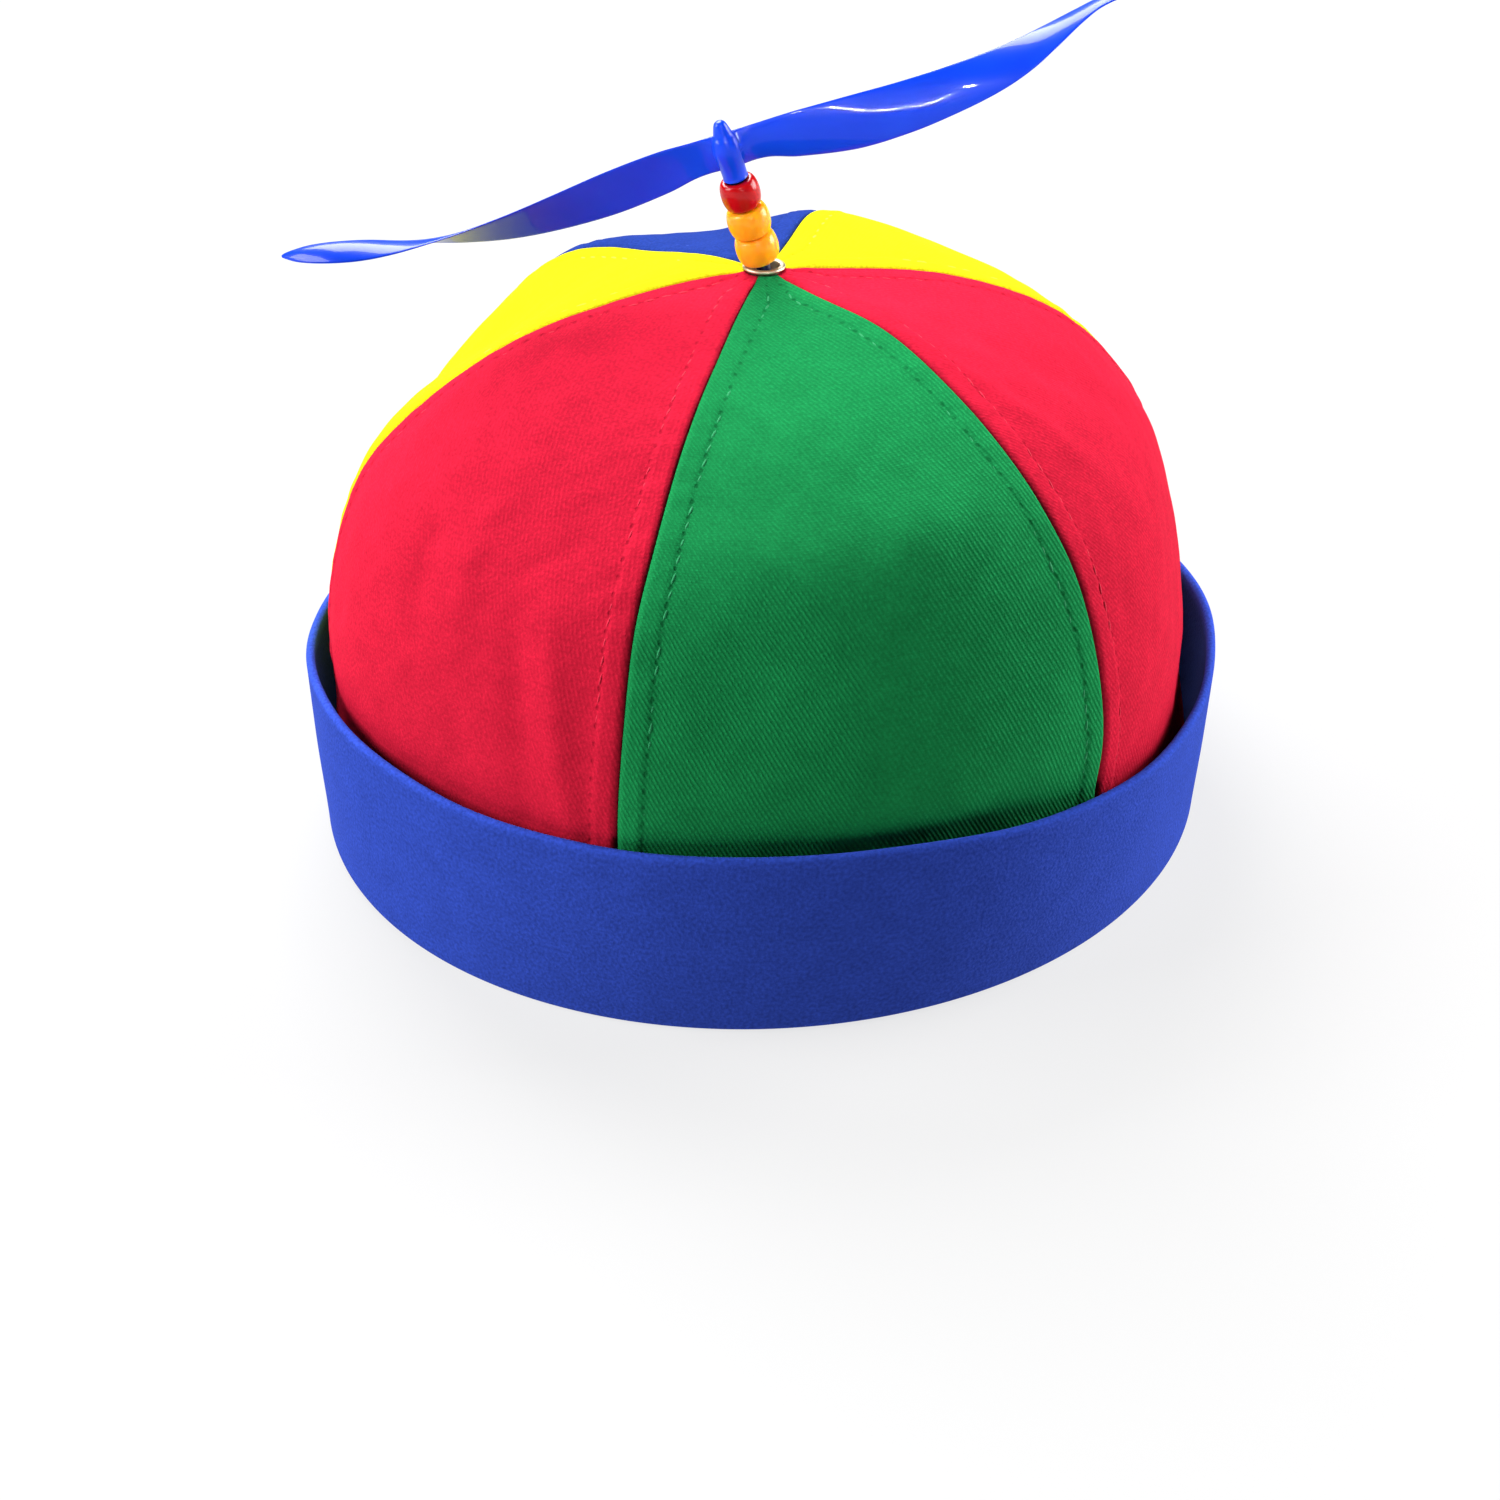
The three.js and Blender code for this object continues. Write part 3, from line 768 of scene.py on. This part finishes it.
swell = 0.5 + 0.5 * ripple(around, (BAND_LENGTH / 7, BAND_LENGTH / 11, BAND_LENGTH / 17), 5)
swell = CUFF_SWELL * swell * smooth_step(height_share, 0.05, 0.6)
from_join = (around - math.pi * CUFF_MEAN_RADIUS) / JOIN_HALF_WIDTH
join_groove = -JOIN_DEPTH * np.exp(-(from_join**2)) * np.where(out > CUFF_THICKNESS / 2, 1, 0)
half_width = base_width + (CROWN_HALF_WIDTH + CLEARANCE + opening - base_width) * flare + out + swell
half_depth = base_depth + (CROWN_HALF_DEPTH + CLEARANCE + opening - base_depth) * flare + out + swell
final = np.stack(
    [
        (half_width + join_groove) * np.sin(azimuth),
        -(half_depth + join_groove) * np.cos(azimuth),
        height,
    ],
    axis=1,
)
for vertex, spot in zip(form.verts, final):
    vertex.co = spot
upright = section[:, :2] + section[:, 2:] * (0, CUFF_HEIGHT)
path = np.concatenate([[0], np.cumsum(np.hypot(*np.diff(upright, axis=0).T))])
path = np.append(path, path[-1] + BAND_CLOSING_LENGTH)
band_map = np.stack([grid[:, 0] * BAND_LENGTH, path[row]], axis=1)
mark = form.verts.layers.float.new("rim_and_inside_shade_value")
map_u = form.verts.layers.float.new("band_u")
map_v = form.verts.layers.float.new("band_v")

# This value is 1 along the rim's fold, where the cloth is drawn lighter, and below 0 on the band's inside,
# which is painted shade
inside = smooth_step(CUFF_THICKNESS / 2 - out, 0, 0.8) * smooth_step(rim_height - height, 0.3, 4)
shade = np.exp(-(((height - rim_height) / LIGHTER_RIM_HEIGHT) ** 2)) - CUFF_INSIDE_PAINTED_SHADE * inside
for vertex, value, spot in zip(form.verts, shade, band_map):
    vertex[mark] = value
    vertex[map_u] = spot[0]
    vertex[map_v] = spot[1]
bmesh.ops.remove_doubles(form, verts=form.verts, dist=0.005)
form.verts.ensure_lookup_table()
band_map = np.array([(v[map_u], v[map_v]) for v in form.verts])
bmesh.ops.recalc_face_normals(form, faces=form.faces)
# The cuff's blue twill is painted much darker on the band's inside as painted shade, and lighter along its
# rim
cuff_cloth = cotton_twill(
    "dyed_cotton_twill_cuff",
    "#2A42A4",
    ribs=0.01,
    grain=0.24,
    fuzz=0.2,
    fuzz_colour="#6478DC",
    lighter_rim_and_shade=0.3,
)
cuff = finished(form, "cloth_cuff", cuff_cloth, "hat", ["cuff"])
lay_map(cuff.data, "cloth", band_map, BAND_LENGTH)

# Eyelet: a stamped ring of pale plated brass, pressed through the six panel points.
# Its barrel is rolled over above and below the cloth.
EYELET_HOLE_RADIUS = 3.1
EYELET_BARREL_RADIUS = 3.5
EYELET_FLANGE_RADIUS = 4.3
EYELET_TOP = 119.4
EYELET_UNDER = 116.2


def turned_form(profile, steps=64):
    """A turned shape about Z from its outline of radius and height, closed and facing outwards."""
    form = bmesh.new()
    points = [form.verts.new((radius, 0, height)) for radius, height in profile]
    for start, end in zip(points, points[1:]):
        form.edges.new((start, end))
    bmesh.ops.spin(
        form,
        geom=form.verts[:] + form.edges[:],
        axis=(0, 0, 1),
        cent=(0, 0, 0),
        angle=2 * math.pi,
        steps=steps,
        use_merge=True,
    )
    bmesh.ops.remove_doubles(form, verts=form.verts, dist=0.0005)
    bmesh.ops.recalc_face_normals(form, faces=form.faces)
    return form


def arc(radius, height, round_radius, start_deg, end_deg, steps=6):
    """Points of a rounding, as radius and height."""
    turns = np.radians(np.linspace(start_deg, end_deg, steps + 1))
    return [(radius + round_radius * math.cos(t), height + round_radius * math.sin(t)) for t in turns]


def plated_brass():
    """Brass plated pale: a warm silver with soft scratches, duller in random patches."""
    material = bpy.data.materials.new("pale_plated_brass")
    material.use_nodes = True
    tree = material.node_tree
    shader = tree.nodes["Principled BSDF"]
    place = add(tree, "ShaderNodeTexCoord").outputs["Object"]
    wear = add(tree, "ShaderNodeTexNoise", {}, {"Vector": place, "Scale": 900.0, "Detail": 5.0})
    tone = add(
        tree,
        "ShaderNodeMix",
        {"data_type": "RGBA"},
        {"Factor": wear.outputs["Fac"], "A": linear("#BDB094"), "B": linear("#E4D9C0")},
    )
    tree.links.new(tone.outputs["Result"], shader.inputs["Base Color"])
    dullness = add(
        tree,
        "ShaderNodeMapRange",
        {},
        {"Value": wear.outputs["Fac"], "From Min": 0.3, "From Max": 0.7, "To Min": 0.38, "To Max": 0.55},
    )
    tree.links.new(dullness.outputs["Result"], shader.inputs["Roughness"])
    shader.inputs["Metallic"].default_value = 1.0
    return material


lip = 0.4
rim = 0.3
profile = arc(EYELET_FLANGE_RADIUS - lip, EYELET_TOP - lip, lip, -90, 90)
profile += arc(EYELET_HOLE_RADIUS + lip, EYELET_TOP - lip, lip, 90, 180)
profile += [(EYELET_HOLE_RADIUS, EYELET_UNDER + 0.4)]
profile += arc(EYELET_HOLE_RADIUS + rim, EYELET_UNDER + rim, rim, 180, 270)
profile += arc(EYELET_FLANGE_RADIUS - rim, EYELET_UNDER + rim, rim, -90, 90)
profile += [(EYELET_BARREL_RADIUS, EYELET_UNDER + 0.6)]
profile += [(EYELET_BARREL_RADIUS, EYELET_TOP - 0.8)]
profile += [profile[0]]
finished(turned_form(profile), "eyelet_ring", plated_brass(), "hat", ["eyelet"])

# Post: a moulded rod of blue plastic that leans out of the eyelet, with a flat foot held beneath it.
# Only a short length shows, between the eyelet and the lowest bead.
POST_RADIUS = 1.4
POST_FOOT_RADIUS = 5.5
POST_FOOT_THICKNESS = 1.3
POST_FOOT_DEPTH = 4.7
POST_TOP = 27.95
POST_FOOT_ROUND = 0.3
POST_TOP_ROUND = 0.7
POST_LEAN_DEG = 18
POST_LEAN_AZIMUTH_DEG = -68.7
POST_OFFSET = 0.35

lean = math.radians(POST_LEAN_DEG)
lean_azimuth = math.radians(POST_LEAN_AZIMUTH_DEG)
stack_axis = Vector(
    (math.sin(lean) * math.sin(lean_azimuth), -math.sin(lean) * math.cos(lean_azimuth), math.cos(lean))
)
stack_foot = Vector(
    (POST_OFFSET * math.sin(lean_azimuth), -POST_OFFSET * math.cos(lean_azimuth), EYELET_TOP)
)
stack_turn = Vector((0, 0, 1)).rotation_difference(stack_axis).to_matrix().to_4x4()
stack = Matrix.Translation(stack_foot) @ stack_turn


def moulded_plastic(name, colour, deep, roughness, gloss, glow, glow_depth, waviness):
    """Injection-moulded polystyrene: glossy, a little translucent, with faint flow marks and ripples."""
    material = bpy.data.materials.new(name)
    material.use_nodes = True
    tree = material.node_tree
    shader = tree.nodes["Principled BSDF"]
    place = add(tree, "ShaderNodeTexCoord").outputs["Object"]
    flow = add(
        tree,
        "ShaderNodeTexNoise",
        {},
        {"Vector": place, "Scale": 70.0, "Detail": 2.0},
    )
    tone = add(
        tree,
        "ShaderNodeMix",
        {"data_type": "RGBA"},
        {"Factor": flow.outputs["Fac"], "A": linear(deep), "B": linear(colour)},
    )
    tree.links.new(tone.outputs["Result"], shader.inputs["Base Color"])
    ripples = add(tree, "ShaderNodeTexNoise", {}, {"Vector": place, "Scale": 260.0, "Detail": 1.0})
    bump = add(
        tree,
        "ShaderNodeBump",
        {},
        {"Height": ripples.outputs["Fac"], "Strength": 1.0, "Distance": waviness * MM},
    )
    tree.links.new(bump.outputs["Normal"], shader.inputs["Normal"])
    shader.inputs["Roughness"].default_value = roughness
    shader.inputs["IOR"].default_value = 1.5
    shader.inputs["Specular IOR Level"].default_value = 0.12
    shader.inputs["Coat Weight"].default_value = gloss
    shader.inputs["Coat Roughness"].default_value = 0.05
    shader.inputs["Subsurface Weight"].default_value = glow
    shader.inputs["Subsurface Radius"].default_value = linear(colour)[:3]
    shader.inputs["Subsurface Scale"].default_value = glow_depth * MM
    return material


foot_low = -POST_FOOT_DEPTH - POST_FOOT_THICKNESS
profile = [(0, foot_low)]
foot_edge = POST_FOOT_RADIUS - POST_FOOT_ROUND
profile += arc(foot_edge, foot_low + POST_FOOT_ROUND, POST_FOOT_ROUND, -90, 0)
profile += arc(foot_edge, -POST_FOOT_DEPTH - POST_FOOT_ROUND, POST_FOOT_ROUND, 0, 90)
profile += [(POST_RADIUS + 0.4, -POST_FOOT_DEPTH), (POST_RADIUS, -POST_FOOT_DEPTH + 0.4)]
profile += arc(POST_RADIUS - POST_TOP_ROUND, POST_TOP - POST_TOP_ROUND, POST_TOP_ROUND, 0, 90)
profile += [(0, POST_TOP)]
form = turned_form(profile, 40)
bmesh.ops.transform(form, matrix=stack, verts=form.verts)
# The post's blue is painted nearly black, as painted shade of the dark hole in the eyelet where it shows
post_plastic = moulded_plastic(
    "moulded_polystyrene_post_painted_shade",
    "#0A1440",
    "#060C28",
    roughness=0.4,
    gloss=0.0,
    glow=0.1,
    glow_depth=1.0,
    waviness=0.02,
)
finished(form, "post_rod", post_plastic, "hat", ["post"])

# Beads: two orange barrel beads and a smaller red one, moulded in glossy translucent plastic.
# They are threaded on the post one above the other.
BEAD_RADIUS = 4.3
RED_BEAD_RADIUS = 3.9
BEAD_HEIGHT = 5.9
BEAD_BORE_RADIUS = 2
BEAD_END_SHARE = 0.69
FIRST_BEAD_RISE = 1.35
BEAD_PITCH = 6.2

orange_plastic = moulded_plastic(
    "moulded_polystyrene_orange",
    "#FFA828",
    "#FF9A1A",
    roughness=0.25,
    gloss=0.3,
    glow=1.0,
    glow_depth=2.0,
    waviness=0.02,
)
red_plastic = moulded_plastic(
    "moulded_polystyrene_red",
    "#B80C14",
    "#A0080E",
    roughness=0.25,
    gloss=0.3,
    glow=0.5,
    glow_depth=1.5,
    waviness=0.02,
)
BEADS = [
    ("bead_orange_lower", BEAD_RADIUS, "bead_orange", orange_plastic),
    ("bead_orange_upper", BEAD_RADIUS, "bead_orange", orange_plastic),
    ("bead_red", RED_BEAD_RADIUS, "bead_red", red_plastic),
]
for place, (name, radius, slot, material) in enumerate(BEADS):
    end = radius * BEAD_END_SHARE
    profile = [(BEAD_BORE_RADIUS, -BEAD_HEIGHT / 2 + 0.2)]
    profile += [(BEAD_BORE_RADIUS + 0.2, -BEAD_HEIGHT / 2)]
    for turn in np.radians(np.linspace(-90, 90, 27)):
        bulge = max(math.cos(turn), 0) ** 0.82
        profile.append((end + (radius - end) * bulge, BEAD_HEIGHT / 2 * math.sin(turn)))
    profile += [(BEAD_BORE_RADIUS + 0.2, BEAD_HEIGHT / 2), (BEAD_BORE_RADIUS, BEAD_HEIGHT / 2 - 0.2)]
    profile += [profile[0]]
    form = turned_form(profile)
    rise = FIRST_BEAD_RISE + BEAD_HEIGHT / 2 + place * BEAD_PITCH
    bmesh.ops.transform(form, matrix=stack @ Matrix.Translation((0, 0, rise)), verts=form.verts)
    finished(form, name + "_barrel", material, "hat", [name])

# Propeller: one moulding of thin glossy blue plastic that spins on the post.
# A tapered hub with a small nub carries two blades. They stand on edge at the root and lie flat at
# the tip.
HUB_BOTTOM_RADIUS = 2.5
HUB_MIDDLE_RADIUS = 3.1
HUB_HEIGHT = 9.6
NUB_RADIUS = 1.55
NUB_HEIGHT = 2.8
HUB_BOTTOM = 19.95
HUB_BORE_RADIUS = 1.7
HUB_BORE_TOP = 8.3
BLADE_LEVEL = 6.1
BLADE_REACH = 87.5
BLADE_CHORD = 10.4
BLADE_THICKNESS = 1.0
BLADE_CAMBER = 0.6
BLADE_HEADING_DEG = -6
BLADE_STATIONS = 150
BLADE_AROUND = 28

# Station, chord, pitch in degrees, rise and sweep of the blade from root to tip, all but pitch as shares
BLADE_SECTIONS = [
    (0.0, 0.71, 90, 0.0, 0.0),
    (0.066, 0.71, 90, 0.0, 0.0),
    (0.15, 0.885, 86, -0.009, -0.005),
    (0.277, 1.0, 78, -0.021, -0.008),
    (0.39, 0.95, 70, -0.025, -0.004),
    (0.5, 0.865, 58.5, -0.022, 0.003),
    (0.61, 0.805, 41, -0.01, 0.008),
    (0.68, 0.763, 27, 0.004, 0.014),
    (0.74, 0.72, 12, 0.021, 0.023),
    (0.81, 0.66, -5, 0.043, 0.033),
    (0.85, 0.61, -12, 0.054, 0.035),
    (0.89, 0.55, -16, 0.061, 0.029),
    (0.93, 0.46, -18, 0.064, 0.016),
    (0.965, 0.32, -18, 0.064, 0.001),
    (0.99, 0.16, -18, 0.063, -0.014),
    (1.0, 0.06, -18, 0.062, -0.02),
]
blade_rows = [(s, c, math.radians(p), r, w) for s, c, p, r, w in BLADE_SECTIONS]
blade_points = smooth_curve(blade_rows, False, 0.25)

form = bmesh.new()
bmesh.ops.create_grid(form, x_segments=BLADE_STATIONS, y_segments=BLADE_AROUND, size=0.5)
form.verts.ensure_lookup_table()
grid = np.array([v.co[:2] for v in form.verts]) + 0.5
station = grid[:, 0]
station = station + 0.35 * station * (1 - station)
round_turn = 2 * math.pi * grid[:, 1]
chord, pitch, rise, sweep = (
    np.interp(station, blade_points[:, 0], blade_points[:, i]) for i in range(1, 5)
)
across = 0.5 * np.cos(round_turn)
crown = 1 - (2 * across) ** 2
root_fillet = 1 + 1.6 * np.exp(-(((station * BLADE_REACH - 2.4) / 1.5) ** 2))
thickness = BLADE_THICKNESS * (0.55 + 0.45 * crown) * np.minimum(1, chord * 3) * root_fillet
side = np.sign(np.sin(round_turn)) * np.abs(np.sin(round_turn)) ** 0.55
lift = BLADE_CAMBER * chord * crown + 0.5 * side * thickness
chord = chord * BLADE_CHORD
final = np.stack(
    [
        station * BLADE_REACH,
        sweep * BLADE_REACH + chord * across * np.cos(pitch) - lift * np.sin(pitch),
        BLADE_LEVEL + rise * BLADE_REACH + chord * across * np.sin(pitch) + lift * np.cos(pitch),
    ],
    axis=1,
)
for vertex, spot in zip(form.verts, final):
    vertex.co = spot
bmesh.ops.remove_doubles(form, verts=form.verts, dist=0.0005)
bmesh.ops.holes_fill(form, edges=[e for e in form.edges if e.is_boundary], sides=0)
bmesh.ops.recalc_face_normals(form, faces=form.faces)
blade_mesh = bpy.data.meshes.new("blade")
form.to_mesh(blade_mesh)
form.transform(Matrix.Rotation(math.pi, 4, "Z"))
opposite_mesh = bpy.data.meshes.new("blade_opposite")
form.to_mesh(opposite_mesh)
form.free()

profile = [(0, HUB_BORE_TOP), (HUB_BORE_RADIUS, HUB_BORE_TOP), (HUB_BORE_RADIUS, 0.2)]
profile += [(HUB_BORE_RADIUS + 0.2, 0), (HUB_BOTTOM_RADIUS - 0.25, 0), (HUB_BOTTOM_RADIUS, 0.25)]
hub_side = smooth_curve(
    [
        (HUB_BOTTOM_RADIUS - 0.1, 0.6),
        (HUB_BOTTOM_RADIUS, HUB_HEIGHT * 0.3),
        (HUB_MIDDLE_RADIUS - 0.2, HUB_HEIGHT * 0.6),
        (HUB_MIDDLE_RADIUS - 0.25, HUB_HEIGHT * 0.75),
        (HUB_BOTTOM_RADIUS, HUB_HEIGHT * 0.9),
        (NUB_RADIUS + 0.35, HUB_HEIGHT),
        (NUB_RADIUS, HUB_HEIGHT + NUB_HEIGHT * 0.4),
        (NUB_RADIUS * 0.72, HUB_HEIGHT + NUB_HEIGHT * 0.82),
        (NUB_RADIUS * 0.4, HUB_HEIGHT + NUB_HEIGHT * 0.97),
        (0.0, HUB_HEIGHT + NUB_HEIGHT),
    ],
    False,
    0.25,
)
profile += [tuple(p) for p in hub_side[::50]]
form = turned_form(profile, 56)
hub_mesh = bpy.data.meshes.new("hub")
form.to_mesh(hub_mesh)
form.free()
joined = bpy.data.objects.new("hub", hub_mesh)
bpy.context.scene.collection.objects.link(joined)
helpers = []
for mesh in (blade_mesh, opposite_mesh):
    helper = bpy.data.objects.new(mesh.name, mesh)
    bpy.context.scene.collection.objects.link(helper)
    join = joined.modifiers.new("join", "BOOLEAN")
    join.operation = "UNION"
    join.solver = "EXACT"
    join.object = helper
    helpers.append(helper)
bpy.context.view_layer.update()
whole = joined.evaluated_get(bpy.context.evaluated_depsgraph_get())
form = bmesh.new()
form.from_mesh(whole.to_mesh())
whole.to_mesh_clear()
for helper in [*helpers, joined]:
    bpy.data.objects.remove(helper)
heading = Matrix.Rotation(math.radians(BLADE_HEADING_DEG), 4, "Z")
on_post = stack @ Matrix.Translation((0, 0, HUB_BOTTOM)) @ heading
bmesh.ops.transform(form, matrix=on_post, verts=form.verts)
blade_plastic = moulded_plastic(
    "moulded_polystyrene_propeller",
    "#0A46E2",
    "#0834CC",
    roughness=0.34,
    gloss=0.3,
    glow=0.12,
    glow_depth=1.0,
    waviness=0.03,
)
propeller = finished(
    form, "propeller_moulding", blade_plastic, "propeller", ["propeller"]
)
propeller.data.set_sharp_from_angle(angle=math.radians(50))

# Floor, wall and light: a white acrylic table lit softly from below, with soft lamps at both sides and
# behind. The front is darker than the sides, so the crown's lower front and the cuff's middle fall into
# shade. A pale wall stands far off, which the camera sees and which gives the hat no light.
TABLE_SIZE = 12000
WALL_RADIUS = 5900
WALL_HEIGHT = 3000
WALL_SIDES = 96
TABLE_LEVEL = -0.1
TABLE_GLOW = 0.76
TENT_LIGHT = 0.04


def stage_piece(form, name, material):
    """The floor or the wall as a piece, made from a bmesh in millimetres."""
    bmesh.ops.scale(form, vec=(MM, MM, MM), verts=form.verts)
    mesh = bpy.data.meshes.new(name)
    form.to_mesh(mesh)
    form.free()
    mesh.materials.append(material)
    piece = bpy.data.objects.new(name, mesh)
    bpy.context.scene.collection.objects.link(piece)
    return piece


def glowing_white(name, base):
    """Matt white without shine that glows evenly. The base colour sets how much lamplight it returns."""
    material = bpy.data.materials.new(name)
    material.use_nodes = True
    shader = material.node_tree.nodes["Principled BSDF"]
    shader.inputs["Base Color"].default_value = linear(base)
    shader.inputs["Roughness"].default_value = 0.9
    shader.inputs["Specular IOR Level"].default_value = 0.0
    shader.inputs["Emission Color"].default_value = (1, 1, 1, 1)
    shader.inputs["Emission Strength"].default_value = TABLE_GLOW
    return material


form = bmesh.new()
bmesh.ops.create_grid(form, x_segments=1, y_segments=1, size=TABLE_SIZE / 2)
bmesh.ops.translate(form, vec=(0, 0, TABLE_LEVEL), verts=form.verts)
stage_piece(form, "floor", glowing_white("white_acrylic_lit_from_below", "#606060"))
form = bmesh.new()
bmesh.ops.create_cone(
    form,
    cap_ends=False,
    segments=WALL_SIDES,
    radius1=WALL_RADIUS,
    radius2=WALL_RADIUS,
    depth=WALL_HEIGHT,
    matrix=Matrix.Translation((0, 0, WALL_HEIGHT / 2)),
)
bmesh.ops.reverse_faces(form, faces=form.faces)
wall = stage_piece(form, "wall", glowing_white("white_backdrop", "#000000"))
wall.visible_diffuse = False
wall.visible_glossy = False
wall.visible_shadow = False

world = bpy.data.worlds.new("light_tent")
world.use_nodes = True
world.node_tree.nodes["Background"].inputs["Color"].default_value = (1, 1, 1, 1)
world.node_tree.nodes["Background"].inputs["Strength"].default_value = TENT_LIGHT
bpy.context.scene.world = world


# Lamps: their places and sizes are in metres, their power in watts
HAT_MIDDLE = (0, 0, 0.06)


def soft_lamp(name, place, size, power):
    """A square lamp that faces the hat's middle, out of the camera's sight."""
    data = bpy.data.lights.new(name, "AREA")
    data.shape = "RECTANGLE"
    data.size = size
    data.size_y = size
    data.energy = power
    lamp = bpy.data.objects.new(name, data)
    lamp.location = place
    lamp.rotation_euler = (Vector(HAT_MIDDLE) - Vector(place)).to_track_quat("-Z", "Y").to_euler()
    lamp.visible_camera = False
    bpy.context.scene.collection.objects.link(lamp)


soft_lamp("lamp_left", (-0.9, 0.0, 0.55), size=0.6, power=13.6)
soft_lamp("lamp_right", (0.95, 0.02, 0.42), size=0.6, power=16.0)
soft_lamp("lamp_back", (-0.2, 0.99, 1.35), size=1.0, power=52)

# Lamps with snouts light the propeller and the beads alone: one from the front and above, and a slanting
# row of tiny ones further back, which gives the blade its row of sparks
PROPELLER_PLACE = (0.012, 0, 0.147)
SPARK_LAMPS = 10
SPARK_ROW_START = (-0.04, -0.88, 0.48)
SPARK_STEP_RIGHT = 0.012
SPARK_STEP_DOWN = 0.024


def snout_lamp(name, place, power, cone_deg, radius):
    """A lamp with a narrow cone, aimed at the propeller."""
    data = bpy.data.lights.new(name, "SPOT")
    data.energy = power
    data.spot_size = math.radians(cone_deg)
    data.spot_blend = 0.7
    data.shadow_soft_size = radius
    lamp = bpy.data.objects.new(name, data)
    lamp.location = place
    aim = Vector(PROPELLER_PLACE) - Vector(place)
    lamp.rotation_euler = aim.to_track_quat("-Z", "Y").to_euler()
    bpy.context.scene.collection.objects.link(lamp)


snout_lamp("lamp_snout", (-0.12, -0.62, 0.52), power=8.5, cone_deg=9.5, radius=0.03)
left, front, top = SPARK_ROW_START
for number in range(SPARK_LAMPS):
    place = (left + SPARK_STEP_RIGHT * number, front, top - SPARK_STEP_DOWN * number)
    snout_lamp("lamp_spark_%02d" % number, place, power=1.0, cone_deg=9, radius=0.003)

# Camera: in front of the hat, a little to the left and 29 degrees above the table
CAMERA_DISTANCE = 413.3
CAMERA_ELEVATION_DEG = 28.7
CAMERA_AZIMUTH_DEG = -12.7
AIM_HEIGHT = 60
FOCAL_PIXELS = 1939
FRAME_PIXELS = 1500
SENSOR_WIDTH = 36
CENTRE_COLUMN = 764
CENTRE_ROW = 526.6

elevation = math.radians(CAMERA_ELEVATION_DEG)
heading = math.radians(CAMERA_AZIMUTH_DEG)
back = Vector(
    (
        math.sin(heading) * math.cos(elevation),
        -math.cos(heading) * math.cos(elevation),
        math.sin(elevation),
    )
)
lens = bpy.data.cameras.new("camera")
lens.sensor_width = SENSOR_WIDTH
lens.lens = FOCAL_PIXELS / FRAME_PIXELS * SENSOR_WIDTH
lens.shift_x = (FRAME_PIXELS / 2 - CENTRE_COLUMN) / FRAME_PIXELS
lens.shift_y = (CENTRE_ROW - FRAME_PIXELS / 2) / FRAME_PIXELS
lens.clip_start = 0.01
lens.clip_end = 20
camera = bpy.data.objects.new("camera", lens)
camera.location = (Vector((0, 0, AIM_HEIGHT)) + back * CAMERA_DISTANCE) * MM
camera.rotation_euler = back.to_track_quat("Z", "Y").to_euler()
bpy.context.scene.collection.objects.link(camera)
bpy.context.scene.camera = camera
bpy.context.scene.view_settings.view_transform = "Standard"
